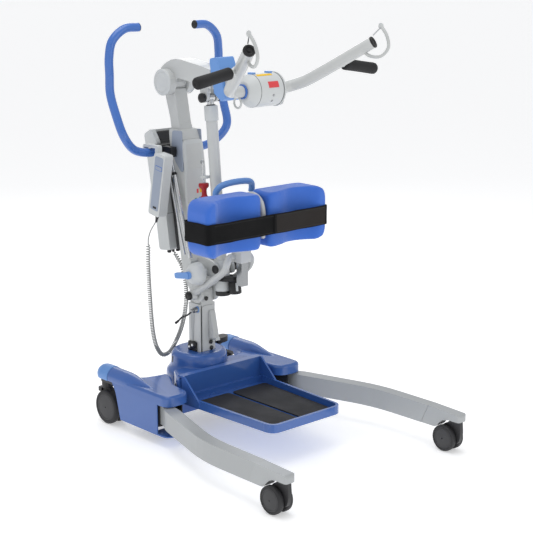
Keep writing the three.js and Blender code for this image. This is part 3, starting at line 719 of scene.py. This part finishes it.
def column_lever():
    boss = together(bar_x(-46, -29.3, (89, 335), 8, edge=1), bar_x(-55, -45, (89, 335), 5.5, edge=1.5))
    arm = tube([(-46, 92, 333), (-62, 97, 322), (-76, 102, 318), (-92, 105, 306)], 2.6, 14)
    piece("latch_boss", boss, STEEL, "column_lever", "column_lever", "dark_plastic")
    piece("latch_arm", arm, BLACK, "column_lever")
    piece("latch_tip", rod((-88, 104, 309), (-99, 107, 302), 3.6, 18, 1.2), BLACK, "column_lever")
    piece("latch_ring", bar_x(-34, -30, (89, 335), 9.4, edge=1), LIGHT_BLUE, "column_lever")


turret_details()
column_details()
column_lever()


# ---- Legs and castors ----

CASTORS = {
    "front": {"radius": 37.5, "trail": 31, "inner": 7, "outer": 25, "stem": FRONT_STEM, "top": 91.6},
    "rear": {"radius": 50, "trail": -22, "inner": 8, "outer": 27, "stem": REAR_STEM, "top": 104.6},
}


def twin(profile, centre):
    """A profile turned about X on both sides of a castor's middle plane; centre is (x, y, z)."""
    x, y, z = centre
    right = turned(profile, (x, y, z), (1, 0, 0), 56, closed=True)
    left = turned(profile, (x, y, z), (-1, 0, 0), 56, closed=True)
    return together(right, left)


def castor(place_name, sign):
    facts = CASTORS[place_name]
    name = f"{place_name}_{side_word(sign)}"
    radius, inner, outer = facts["radius"], facts["inner"], facts["outer"]
    x, y = sign * facts["stem"][0], facts["stem"][1]
    centre = (x, y + facts["trail"], radius)
    tread = [
        (radius * 0.8, inner), (radius - 3, inner), (radius - 0.8, inner + 1.6), (radius, inner + 4),
        (radius, outer - 6), (radius - 0.8, outer - 3), (radius - 3.2, outer - 0.8), (radius * 0.86, outer),
        (radius * 0.8, outer - 1.2),
    ]
    hub = [
        (2, inner + 1), (radius * 0.8, inner + 1), (radius * 0.8, outer - 1.8), (radius * 0.74, outer - 0.8),
        (radius * 0.7, outer - 0.6), (
            radius * 0.68, outer - 1.6
        ), (radius * 0.3, outer - 0.4), (2, outer - 0.2),
    ]
    body = f"wheel_{name}"
    piece(f"tyre_{name}", twin(tread, centre), RUBBER, body, f"castor_wheel_{name}", "wheel_rubber")
    piece(f"hub_{name}", twin(hub, centre), HUB, body)
    axle = bar_x(x - inner - 1, x + inner + 1, centre[1:], 5)
    piece(f"axle_{name}", axle, STEEL, body)
    dress(f"castor_fork_{name}", DARK, 1.6, 3, 40)
    collar = rod((x, y, facts["top"] - 1), (x, y, facts["top"] + 3), 12, 32)
    if place_name == "front":
        piece(f"stem_collar_{name}", collar, STEEL, f"castor_{name}")
    else:
        dress(f"brake_pedal_{name}", BLACK, 1.0, 2)


for way in (1, -1):
    for which in CASTORS:
        castor(which, way)
    # A black block at each leg's root, just inside the cover's mouth: painted shade in the recess between leg
    # and cover.
    root = block((221, 249), (-4, 8), (58.5, 119))
    piece(f"leg_gaiter_{side_word(way)}", sided(root, way), BLACK, f"leg_{side_word(way)}", bevel=2)
dress_pair("leg", LEG_GREY, 5.0, 4, 40)
dress_pair("leg_cap", LEG_GREY, 4.0, 4, 40)
dress("foot_tray", BLUE, 1.6, 3)
dress_pair("tray_mat", MAT, 0.8, 2)


# ---- Mast, handlebar and what hangs on them ----

BAR_PATH = [
    (55, 220, 790), (95, 220, 786), (150, 217, 800), (190, 210, 842), (199, 232, 900), (200, 256, 960),
    (200, 257, 1010), (200, 257, 1060), (190, 254, 1105), (150, 250, 1137), (103, 249, 1140),
]
BAR_RADIUS = 12.5


def handlebar():
    path = [(-x, y, z) for x, y, z in reversed(BAR_PATH)] + BAR_PATH
    piece("push_bar", tube(path, BAR_RADIUS, 28, 10), BAR_BLUE, "mast", "handlebar", "blue_paint")
    cap = [(11.2, -6), (11.2, 0.1), (12.4, 0.3), (12.4, 1.8), (10.8, 3.4), (6, 4), (4.5, 2.8), (0, 2.8)]
    pair("bar_cap", turned(cap, (103, 249, 1140), (-1, -0.02, 0.06), 32), BLACK, "mast")
    sleeve = [(13.4, -9), (13.9, -8), (13.9, 8), (13.4, 9)]
    pair("bar_sleeve", turned(sleeve, (66, 220, 789), (1, 0, -0.1), 32), BLACK, "mast")


MAST_FINISH = {
    "mast_tube": (GREY, 4.5, 4, 40), "mast_cover": (PALE, 2.0, 3), "control_box": (PALE, 3.5, 3),
    "battery_pack": (PALE, 4.5, 4), "box_rail": (DARK, 1.5, 2), "bar_clamp": (BLACK, 2.5, 3, 40),
    "handset": (PALE, 4.0, 4),
}


def mast_details():
    for name, finish in MAST_FINISH.items():
        dress(name, *finish)
    saddle = [(143, 851, 6), (186, 848, 8), (190, 800, 10), (176, 762, 12), (146, 730, 10), (137, 738, 4)]
    pair("mast_saddle", slab("x", saddle, 33.2, 37.2), SLATE, "mast", bevel=1.8)
    knob = [(11, 0), (12, 1.5), (12, 6), (8.5, 8.5), (0, 9)]
    pair("yoke_pin", turned(knob, (33, -0.5, 471), (1, 0, 0), 28), BLACK, "mast")
    bolt = [(5, 0), (5.6, 1), (5.6, 3), (2, 3.6), (0, 3.6)]
    pair("yoke_bolt", turned(bolt, (33, 96, 458), (1, 0, 0), 20), BLACK, "mast")
    # The cover's face leans back, so what lies on it is sheared to follow.
    vertices, faces = slab("y", [(-27, 742, 3), (27, 742, 3), (27, 812, 3), (-27, 812, 3)], 0, 0.5)
    tilted = [(x, 126 + (z - 741) * 13 / 84 - 0.5 + y, z) for x, y, z in vertices]
    piece("cover_label", (tilted, faces), GREY, "mast")
    patches = [(PATCH_RED, 4, 676), (PATCH_YELLOW, 15, 676), (PATCH_GREEN, -4, 650), (LIGHT_BLUE, 12, 652)]
    for k, (material, x, z) in enumerate(patches):
        vertices, faces = block((x - 3.2, x + 3.2), (0, 0.5), (z - 6, z + 6))
        tilted = [(u, 121 + (w - 621) * 5 / 120 - 0.5 + v, w) for u, v, w in vertices]
        piece(f"cover_patch_{k}", (tilted, faces), material, "mast")


def box_details():
    recess = slab("x", [(226, 778), (274, 778), (275, 812), (244, 812)], -35.4, 35.4)
    piece("battery_recess", recess, DARK, "battery", bevel=1)
    latch = slab("x", [(246, 812, 2), (268, 834, 2), (274, 836, 2), (276, 812)], -30, 30)
    piece("battery_latch", latch, BLACK, "battery", bevel=1.5)
    seam = slab("x", [(207.5, 602.2), (257, 599.2), (257, 601.2), (207.5, 603.9)], -46.5, 46.5)
    piece("box_seam", seam, BLACK, "mast")
    for k, x in enumerate((-32, -16, 0, 16)):
        plug = rod((x, 214 + 4 * (k % 2), 500), (x, 214 + 4 * (k % 2), 484), 6.2, 22, 1.5)
        if k != 1:
            piece(f"box_plug_{k}", plug, BLACK, "mast")
    boot = turned(
        [(6.4, 0), (6.4, 4), (5.6, 6), (4.6, 12), (3.4, 16), (2.6, 16)], (-17, 219, 499),
        (0.05, -0.35, -1), 22,
    )
    return piece("lead_boot_box", boot, DARK, "mast")


def handset_details():
    face = [(140, 778, 7), (177, 783, 7), (206, 628, 6), (172, 621, 6)]
    piece("handset_face", slab("x", face, -105.9, -104.7), SLATE, "mast", bevel=0.5, segments=2)
    frame_line = [(146, 752, 3), (176, 757, 3), (178, 744, 3), (148, 739, 3)]
    piece("handset_patch", slab("x", frame_line, -106.4, -105.8), BAR_BLUE, "mast", bevel=0.2, segments=1)
    inner_line = [(147.5, 750.3, 2.4), (174.8, 754.9, 2.4), (176.4, 745.3, 2.4), (149.3, 740.8, 2.4)]
    piece("handset_patch_field", slab("x", inner_line, -106.8, -106.3), SLATE, "mast")
    piece(
        "handset_window", slab("x", [(177, 634), (192, 636), (193, 630), (178, 628)], -106.6, -105.8),
        BLACK, "mast",
    )
    for row in range(3):
        for column, material in enumerate((LIGHT_BLUE, DARK)):
            y, z = 161 + 6.8 * row + 14 * column, 738 - 32 * row
            key = slab(
                "x", [(y - 5, z - 6, 2), (y + 5, z - 4, 2), (y + 4, z + 8, 2), (y - 6, z + 6, 2)], -75.2,
                -73.6,
            )
            piece(f"handset_key_{row}_{column}", key, material, "mast", bevel=0.5, segments=2)
    boot = turned(
        [(6.2, -3), (6.2, 4), (5.2, 7), (5.2, 9), (4.4, 11), (4.4, 13), (3.6, 16), (3.4, 22), (2.6, 24)],
        (-90, 191.6, 608), (0, 0.35, -1), 22,
    )
    return piece("lead_boot_handset", boot, DARK, "mast")


handlebar()
mast_details()
box_boot = box_details()
handset_boot = handset_details()

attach(lead, "mast")
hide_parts("lead_curl", "lead_top")

# The fold lock: a domed housing with a blade lever, and the strut beside the mast.
LOCK = (47, 455)
lock_profile = [
    (0, 0), (6, 0.2), (13, 1.6), (20, 5), (25.5, 9.5), (
        29.5, 14.5
    ), (32, 20.5), (33, 27), (33, 36.6), (31, 37),
    (12, 37), (12, 60), (0, 60),
]
piece(
    "fold_lock", turned(lock_profile, (-93.4, *LOCK), (1, 0, 0), 56), PALE, "mast", "lock_housing",
    "light_grey_plastic",
)
dress("lock_lever", LIGHT_BLUE, 2.6, 4)
strut_low, strut_mid, strut_high = (-52, 89, 491), (-52, 160, 728), (-52, 173, 774)
strut = together(rod(strut_low, strut_mid, 7, 28, 1.5), rod((-52, 159.7, 727), strut_high, 4, 20))
piece("lift_strut", strut, CHROME, "mast", "gas_strut", "steel")
piece("strut_gland", rod((-52, 158.6, 723), (-52, 161.2, 732), 7.6, 28, 1.5), BLACK, "mast")
second = rod((-60, 106, 500), (-60, 170, 715), 3.2, 18)
piece("strut_rod", second, CHROME, "mast")


# ---- Knee frame, pads and strap ----


def knee_frame():
    half = [
        (46, 88, 384), (45, 40, 414), (45, -12, 448), (45, -52, 478), (44, -62, 500), (34, -60, 514),
        (20, -58, 516),
    ]
    frame_tube = tube(both_ways(half), 10, 24, 8)
    bosses = together(bar_x(36.5, 56, MAST_PIVOT, 15, 36, 1.5), bar_x(-56, -36.5, MAST_PIVOT, 15, 36, 1.5))
    sleeve = raw_object("knee_sleeve", block((-19, 19), (-93, -50), (500, 552)))
    carve(sleeve, [block((-12.5, 12.5), (-87.5, -62.5), (490, 560))])
    soften(sleeve, 2.5, 3)
    own(sleeve, GREY, "mast")
    piece("knee_tube", frame_tube, GREY, "mast", "knee_frame", "grey_paint")
    piece("knee_bosses", bosses, GREY, "mast")


PAD_LOW, PAD_HIGH, PAD_BACK, PAD_TIP, PAD_INNER, PAD_OUTER = 555, 708, -95, -190, 14, 219
HANDLE_HALF = 66
PAD_GROWTH = 2.2
PAD_VOXEL = 4.0
PAD_SMOOTHING = 26


def knee_pad(sign):
    """A foam pad: a concave lobe with a raised outer wing, swollen and rounded from its outline."""
    outline = [
        (PAD_INNER, PAD_BACK, 6), (
            PAD_INNER, PAD_TIP + 16, 14
        ), (54, PAD_TIP + 18, 24), (112, PAD_TIP + 42, 44),
        (164, PAD_TIP + 26, 30), (194, PAD_TIP, 14), (PAD_OUTER, PAD_TIP + 2, 16), (PAD_OUTER, PAD_BACK, 20),
    ]
    name = side_word(sign)
    pad = raw_object(f"knee_cushion_{name}", sided(slab("z", outline, PAD_LOW, PAD_HIGH, 8), sign))
    front_view = [
        (PAD_INNER, PAD_LOW, 16), (PAD_OUTER, PAD_LOW, 44), (PAD_OUTER, PAD_HIGH, 44),
        (PAD_INNER, PAD_HIGH, 18),
    ]
    carve(pad, [sided(slab("y", front_view, PAD_TIP - 1, PAD_BACK + 1, 10), sign)], "INTERSECT")
    grid = pad.modifiers.new("grid", "REMESH")
    grid.mode = "VOXEL"
    grid.voxel_size = PAD_VOXEL / 1000
    settle(pad)
    rest = [v.co.copy() for v in pad.data.vertices]
    relax = pad.modifiers.new("relax", "SMOOTH")
    relax.factor = 0.5
    relax.iterations = PAD_SMOOTHING
    swell = pad.modifiers.new("swell", "DISPLACE")
    swell.strength = PAD_GROWTH / 1000
    swell.mid_level = 0.0
    again = pad.modifiers.new("again", "SMOOTH")
    again.factor = 0.5
    again.iterations = 3
    settle(pad)
    low = Vector([min(p[k] for p in rest) for k in range(3)])
    high = Vector([max(p[k] for p in rest) for k in range(3)])
    for v in pad.data.vertices:
        v.co = Vector([min(max(v.co[k], low[k]), high[k]) for k in range(3)])
    fine = pad.modifiers.new("fine", "SUBSURF")
    fine.levels = fine.render_levels = 1
    settle(pad)
    soften(pad, 0)
    own(pad, PAD, "knee_pads", f"knee_pad_{name}")
    shell = [
        (PAD_INNER + 6, PAD_BACK + 0.3), (PAD_OUTER - 14, PAD_BACK + 0.3), (PAD_OUTER - 20, PAD_BACK + 4),
        (PAD_INNER + 12, PAD_BACK + 4),
    ]
    backing = sided(slab("z", shell, PAD_LOW + 46, PAD_HIGH - 20), sign)
    piece(f"pad_backing_{name}", backing, PALE, "knee_pads", bevel=1.5)


STRAP_LOW, STRAP_HIGH, STRAP_THICK = 597, 652, 2.5
STRAP_ROWS = 8


def band(path, low, high, thick, wave=0.0):
    """A webbing band stood on edge along a closed path of (x, y); its hems are a little thicker."""
    n = len(path)
    sections = []
    for i, (x, y) in enumerate(path):
        (x0, y0), (x1, y1) = path[i - 1], path[(i + 1) % n]
        length = math.hypot(x1 - x0, y1 - y0) or 1.0
        nx, ny = (y1 - y0) / length, -(x1 - x0) / length
        shift = wave * math.sin(i * 0.55)
        outside = [
            (k, thick / 2 + (0.25 if k in (1, STRAP_ROWS - 1) else 0.0)) for k in range(STRAP_ROWS + 1)
        ]
        inside = [(k, -thick / 2) for k in range(STRAP_ROWS, -1, -1)]
        sections.append([
            (
                x + nx * out, y + ny * out, low + (high - low) * k / STRAP_ROWS + shift
            ) for k, out in outside + inside
        ])
    return rings(sections, closed=True)


def strap_path(back, front, outer):
    outline = [(-outer, back, 10), (-outer, front, 14), (outer, front, 14), (outer, back, 10)]
    ring = rounded(outline, 8)
    path = []
    for i, a in enumerate(ring):
        b = ring[(i + 1) % len(ring)]
        steps = max(1, round(math.dist(a, b) / 9))
        path += [(a[0] + (b[0] - a[0]) * k / steps, a[1] + (b[1] - a[1]) * k / steps) for k in range(steps)]
    return path


def knee_strap():
    back, front, outer = PAD_BACK + 4.3, PAD_TIP - 2.3, PAD_OUTER + 2.0
    path = strap_path(back, front, outer)
    strap = raw_object("knee_belt", band(path, STRAP_LOW, STRAP_HIGH, STRAP_THICK, wave=0.5))
    soften(strap, 0, angle=60)
    own(strap, WEBBING, "knee_pads", "knee_strap")
    edge = front - STRAP_THICK / 2
    lap = slab(
        "y",
        [
            (16, STRAP_LOW + 2), (outer - 14, STRAP_LOW + 2), (outer - 14, STRAP_HIGH - 2),
            (16, STRAP_HIGH - 2),
        ],
        edge - 1.6, edge - 0.1,
    )
    piece("belt_overlap", lap, WEBBING_BROWN, "knee_pads", bevel=0.6, segments=2)
    hem = slab(
        "y",
        [(12, STRAP_LOW + 0.5), (21, STRAP_LOW + 0.5), (21, STRAP_HIGH - 0.5), (12, STRAP_HIGH - 0.5)],
        edge - 2.2, edge - 0.1,
    )
    piece("belt_join", hem, WEBBING, "knee_pads", bevel=0.9, segments=2)
    dashes = []
    for z in (STRAP_LOW + 5, STRAP_HIGH - 5):
        for k in range(-34, 34):
            x = k * 6.0
            if abs(x) < outer - 18 and not 8 < x < 24:
                level = edge - (1.7 if x > 16 else 0.2)
                dashes.append(block((x, x + 3.6), (level - 0.35, level + 0.1), (z - 0.4, z + 0.4)))
    piece("belt_stitching", together(*dashes), DARK, "knee_pads")


def pad_bracket():
    back = PAD_BACK
    plates = raw_object("bracket_plates", block((-150, 150), (back + 0.3, back + 6), (575, 600)))
    carve(plates, [block((-76, 76), (back + 0.3, back + 6), (599, 690))], "UNION")
    carve(plates, [block((-12, 12), (-87, -63), (432, 690))], "UNION")
    soften(plates, 1.5, 2)
    own(plates, STEEL, "knee_pads", "pad_bracket")
    bend = [(0, -88, 668), (0, -94, 690), (0, -122, 698), (0, -151, 684), (0, -162, 645), (0, -160, 585)]
    hook = tube(bend, 8, 22, 8, dome=True)
    piece("bracket_hook", hook, GREY, "knee_pads")
    stub = together(
        rod((HANDLE_HALF, -92, 650), (HANDLE_HALF, -40, 650), 6, 22),
        rod((HANDLE_HALF, -40, 645), (HANDLE_HALF, -40, 687.6), 7, 24, 1.5),
    )
    pair("handle_stub", stub, STEEL, "knee_pads")
    half = [(HANDLE_HALF, -40, 689.4), (HANDLE_HALF, -42, 702), (58, -48, 716), (36, -54, 724)]
    piece(
        "lift_handle", tube(both_ways(half), 9, 26, 12), LIGHT_BLUE, "knee_pads", "pad_handle",
        "light_blue_plastic",
    )


knee_frame()
for way in (1, -1):
    knee_pad(way)
knee_strap()
pad_bracket()


# ---- Actuator ----

ACTUATOR_PIVOT = (14.4, 470)
RELEASE = (-23, 27)
CLEVIS_PIN = (58, 951)
REACH = math.hypot(CLEVIS_PIN[0] - ACTUATOR_PIVOT[0], CLEVIS_PIN[1] - ACTUATOR_PIVOT[1])
LEAN = math.atan2(CLEVIS_PIN[0] - ACTUATOR_PIVOT[0], CLEVIS_PIN[1] - ACTUATOR_PIVOT[1])


def leaning(shape):
    """A shape given along the actuator's own axis, from its lower pin."""
    vertices, faces = shape
    out = []
    for x, y, z in (tuple(v) for v in vertices):
        out.append((
            x,
            ACTUATOR_PIVOT[0] + y * math.cos(LEAN) + z * math.sin(LEAN),
            ACTUATOR_PIVOT[1] - y * math.sin(LEAN) + z * math.cos(LEAN),
        ))
    return out, faces


def along_z(profile, x=0, y=0, sides=40):
    return turned(profile, (x, y, 0), (0, 0, 1), sides)


def actuator():
    gear = along_z([(18, -70), (22, -67), (22, 18), (20, 22), (16, 22)])
    piece("gear_housing", leaning(gear), PALE, "actuator", "actuator_motor", "light_grey_plastic")
    piece("gear_base", leaning(along_z([(19, -82), (22, -80), (22.4, -70), (21, -69)])), BLACK, "actuator")
    motor = along_z([(14, -70), (18, -68), (18, -40), (17, -38)], 13, -38)
    piece("motor_can", leaning(motor), BLACK, "actuator")
    piece(
        "motor_base", leaning(along_z([(15, -76), (18, -74), (18.4, -66), (17, -65)], 13, -38)), BLACK,
        "actuator",
    )
    strip = leaning(slab("z", [(3, -57.5, 2), (9, -57.5, 2), (9, -40), (3, -40)], -66, -42))
    piece("motor_strip", strip, PALE, "actuator", bevel=0.8)
    bridge = [(-22, 10, 12), (-22, -24, 12), (-6, -57, 14), (31, -57, 14), (31, -24, 12), (22, 14, 12)]
    piece("motor_bridge", leaning(slab("z", bridge, -38, -24)), BLACK, "actuator", bevel=3)
    piece("actuator_pin", leaning(bar_x(-25.6, 25.6, (0, 0), 7)), STEEL, "actuator")
    outer = along_z([(16.5, 22.3), (16.5, REACH - 64), (12, REACH - 64)], sides=48)
    piece("outer_tube", leaning(outer), GREY, "actuator", "actuator_tube", "light_grey_plastic")
    collar = along_z(
        [
            (16, REACH - 66), (19.2, REACH - 65), (19.5, REACH - 63), (19.5, REACH - 26),
            (18.4, REACH - 23), (11.2, REACH - 23),
        ],
        sides=48,
    )
    piece("tube_collar", leaning(collar), PALE, "actuator")
    piece(
        "collar_wiper",
        leaning(along_z([(10.3, REACH - 24), (14, REACH - 23.5), (13, REACH - 20.5), (10.3, REACH - 20)])),
        BLACK, "actuator",
    )
    clip = block((-30, -9), (8, 34), (256, 264))
    piece("release_clip", leaning(clip), PALE, "actuator", bevel=1, segments=2)
    stem = together(
        rod((0, 0, 46), (0, 0, REACH - 4), 10, 32), bar_x(-10, 10, (0, REACH), 11, 32, 1),
    )
    piece("piston_rod", leaning(stem), CHROME, "actuator_rod", "actuator_rod", "steel")
    x, y = RELEASE
    spool = [
        (13, 190), (15, 192), (15, 198), (13, 202), (8.4, 207), (7.4, 212), (7.4, 222), (8.8, 227), (
            13.6, 231
        ),
        (15, 234), (15, 240), (13, 243),
    ]
    spool = turned(spool, (x, y, 0), (0, 0, 1), 32)
    piece("release_spool", leaning(spool), RED, "emergency_release", "emergency_release", "release_red")
    piece("release_rod", leaning(rod((x, y, 241), (x, y, 298), 3.4, 18)), CHROME, "emergency_release")
    piece("release_eye", leaning(bar_x(x - 3, x + 3, (y, 302), 6.5, 24, 1.5)), CHROME, "emergency_release")


actuator()


# ---- Boom, spreader and sling arms ----

BOOM_PIVOT = (216, 984)
DRUM_Y, DRUM_Z = -150, 987
ARM_RADIUS = 16
HOOK_RADIUS = 4.5
EYE_AT = (76, -146, 958)
EYE_RADIUS, EYE_WIRE = 14, 3
ARM_PATH = [
    (
        60.6, -150, 987
    ), (84, -150, 988), (108, -154, 991), (132, -184, 1004), (150, -218, 1024), (220, -355, 1114),
]
HOOK_PATH = [
    (
        206, -330, 1092
    ), (213, -352, 1078), (224, -382, 1079), (232, -400, 1102), (234, -392, 1132), (234, -371, 1157),
]
GRIP_FROM, GRIP_TO = (204, -264, 1052), (321, -269, 1033)
GRIP_STUB_FROM = (174.4, -262.7, 1056.8)


def boom():
    dress("boom_arm", GREY, 4.0, 4, 40)
    dress("boom_bracket", LIGHT_BLUE, 2.2, 3, 40)
    cap = [(38.3, 0), (38.3, 1.5), (36.5, 3.2), (30, 4), (28.6, 3), (27, 4.2), (12, 5.4), (0, 5.6)]
    pair("boom_pivot_cap", turned(cap, (45, *BOOM_PIVOT), (1, 0, 0), 56), PALE, "boom")
    pin = [(12, 0), (12, 3), (13.5, 5), (13.5, 11), (10, 14), (4, 14.6), (3, 13), (0, 13)]
    pair("clevis_cap", turned(pin, (22.8, *CLEVIS_PIN), (1, 0, 0), 32), BLACK, "boom")
    dress_pair("release_tab", LIGHT_BLUE, 1.4, 3)


def arc_patch(x0, x1, angle0, angle1, radius, thickness=0.5, steps=14):
    """A thin patch on the drum between two angles, measured from -Y towards +Z."""
    sections = []
    for k in range(steps + 1):
        a = math.radians(angle0 + (angle1 - angle0) * k / steps)
        ring = []
        for x, r in ((x0, radius), (x1, radius), (x1, radius + thickness), (x0, radius + thickness)):
            ring.append((x, DRUM_Y - r * math.cos(a), DRUM_Z + r * math.sin(a)))
        sections.append(ring)
    return rings(sections)


def drum():
    start = (0, DRUM_Y, DRUM_Z)
    shell = [
        (26, -60), (28, -59), (43.6, -38.5), (45, -36), (45, 47.4), (44.4, 48), (43.6, 48.2), (43.6, 49.2),
        (46.2, 49.6), (47, 50.6), (47, 53), (46, 54.4), (41, 59.6), (39.5, 60), (17.2, 60), (17.2, -60),
    ]
    piece("drum_shell", turned(shell, start, (1, 0, 0), 64, closed=True), PALE, "boom", "spreader_drum",
          "light_grey_plastic")
    for k, x in enumerate((-34.4, 46.6)):
        groove = turned(
            [(44.6, x), (45.25, x), (45.25, x + 1.3), (44.6, x + 1.3)], start, (1, 0, 0), 64, closed=True
        )
        piece(f"drum_groove_{k}", groove, DARK, "boom")
    piece("drum_patch_red", arc_patch(-6, 30, 12, 34, 45.1), PATCH_RED, "boom")
    piece("drum_patch_yellow", arc_patch(-28, 26, 62, 74, 45.1), PATCH_YELLOW, "boom")
    for k, angle in enumerate((-14, -36)):
        a = math.radians(angle)
        at = Vector((10, DRUM_Y - 44.5 * math.cos(a), DRUM_Z + 44.5 * math.sin(a)))
        out = (0, -math.cos(a), math.sin(a))
        screw = turned([(3.2, 0), (3.2, 1.2), (2.2, 1.8), (1.2, 1.2), (0, 1.2)], at, out, 18)
        piece(f"drum_screw_{k}", screw, STEEL, "boom")


def sling_arms():
    body = "sling_arms"
    pair("arm_tube", tube(ARM_PATH, ARM_RADIUS, 36, 10), GREY, body, "sling_arm", slot="grey_paint")
    pair("arm_shaft", bar_x(0, 61, (DRUM_Y, DRUM_Z), 14), STEEL, body)
    stub = together(
        rod(GRIP_STUB_FROM, (203.6, -263.98, 1052.06), 9, 24),
        turned(
            [(13, -3), (11, 3), (9.4, 8)], Vector(GRIP_STUB_FROM) + Vector((12, 0, -2)), (1, -0.03, -0.16), 24
        ),
    )
    pair("grip_stub", stub, GREY, body)
    cap = [
        (15.2, -3), (16.3, -1), (16.3, 2.4), (14.8, 4), (10.5, 4), (9, 1.2), (4.5, 0.4), (4, 2.6), (0, 2.6)
    ]
    along = Vector(ARM_PATH[-1]) - Vector(ARM_PATH[-2])
    pair("arm_cap_end", turned(cap, ARM_PATH[-1], along, 40), BLACK, body)
    ring = [(16.4, 0), (20, 0.4), (20, 4.6), (16.4, 5)]
    pair("arm_ring", turned(ring, (61.2, DRUM_Y, DRUM_Z), (1, 0, 0), 40, closed=True), BAR_BLUE, body)
    pair("sling_hook", tube(HOOK_PATH, HOOK_RADIUS, 20, 10, dome=True), GREY, body)
    tip = [(3, -2), (8, -1.6), (8.6, 0), (8, 1.6), (3, 2)]
    pair("hook_tip", turned(tip, (234, -370, 1157), (1, 0, 0), 28), PALE, body)
    eye = []
    for step in range(40):
        turn = step * math.pi / 20
        outwards = Vector((0, math.cos(turn), math.sin(turn)))
        point = Vector(EYE_AT) + outwards * EYE_RADIUS
        angles = (2 * math.pi * k / 12 for k in range(12))
        spokes = [outwards * math.cos(a) + Vector((math.sin(a), 0, 0)) for a in angles]
        eye.append([point + EYE_WIRE * spoke for spoke in spokes])
    pair("arm_eye", rings(eye, closed=True), GREY, body)
    axis = Vector(GRIP_TO) - Vector(GRIP_FROM)
    length = axis.length
    foam = [
        (12, 0), (14.6, 0.6), (15.8, 2.4), (16, 5), (15.6, length * 0.3), (15.6, length * 0.6),
        (16, length - 12), (15.4, length - 5), (13, length - 1.4), (9, length), (5, length + 0.4),
        (4, length - 0.6), (0.5, length - 0.8),
    ]
    pair("foam_grip", turned(foam, GRIP_FROM, axis, 40), FOAM, body, "hand_grip", slot="grip_foam")
    dress_pair("hook_gate", CHROME, 0)


boom()
drum()
sling_arms()


# ---- Studio ----

floor_mesh = bpy.data.meshes.new("floor")
FLOOR = 60.0
floor_mesh.from_pydata(
    [
        (-FLOOR, -FLOOR, -0.0005), (FLOOR, -FLOOR, -0.0005), (FLOOR, FLOOR, -0.0005),
        (-FLOOR, FLOOR, -0.0005),
    ],
    [], [(0, 1, 2, 3)],
)
floor = bpy.data.objects.new("floor", floor_mesh)
SCENE.collection.objects.link(floor)
floor_paint = bpy.data.materials.new("floor_paint")
floor_paint.use_nodes = True
floor_look = {
    "Base Color": (0.9, 0.9, 0.9, 1.0), "Roughness": 0.6, "Emission Color": (1.0, 1.0, 1.0, 1.0),
    "Emission Strength": 0.4,
}
for socket, value in floor_look.items():
    floor_paint.node_tree.nodes["Principled BSDF"].inputs[socket].default_value = value
floor_mesh.materials.append(floor_paint)


def softbox(name, at, size, power, aim=(0.0, 0.0, 0.55)):
    light = bpy.data.lights.new(name, "AREA")
    light.shape = "RECTANGLE"
    light.size, light.size_y = size
    light.energy = power
    lamp = bpy.data.objects.new(name, light)
    lamp.location = at
    lamp.rotation_euler = (Vector(aim) - Vector(at)).to_track_quat("-Z", "Y").to_euler()
    SCENE.collection.objects.link(lamp)


softbox("top_light", (-0.3, 0.2, 3.2), (2.2, 2.2), 30)
softbox("left_light", (-3.2, -0.6, 1.9), (1.2, 2.4), 3)
softbox("front_light", (0.8, -3.4, 1.3), (1.6, 2.0), 12)
softbox("rim_light", (1.8, 2.6, 2.2), (1.6, 1.6), 12)
world = bpy.data.worlds.new("studio")
SCENE.world = world
world.use_nodes = True
world.node_tree.nodes["Background"].inputs["Color"].default_value = (0.97, 0.98, 1.0, 1.0)
world.node_tree.nodes["Background"].inputs["Strength"].default_value = 0.6
SCENE.view_settings.view_transform = "Standard"
SCENE.view_settings.look = "None"
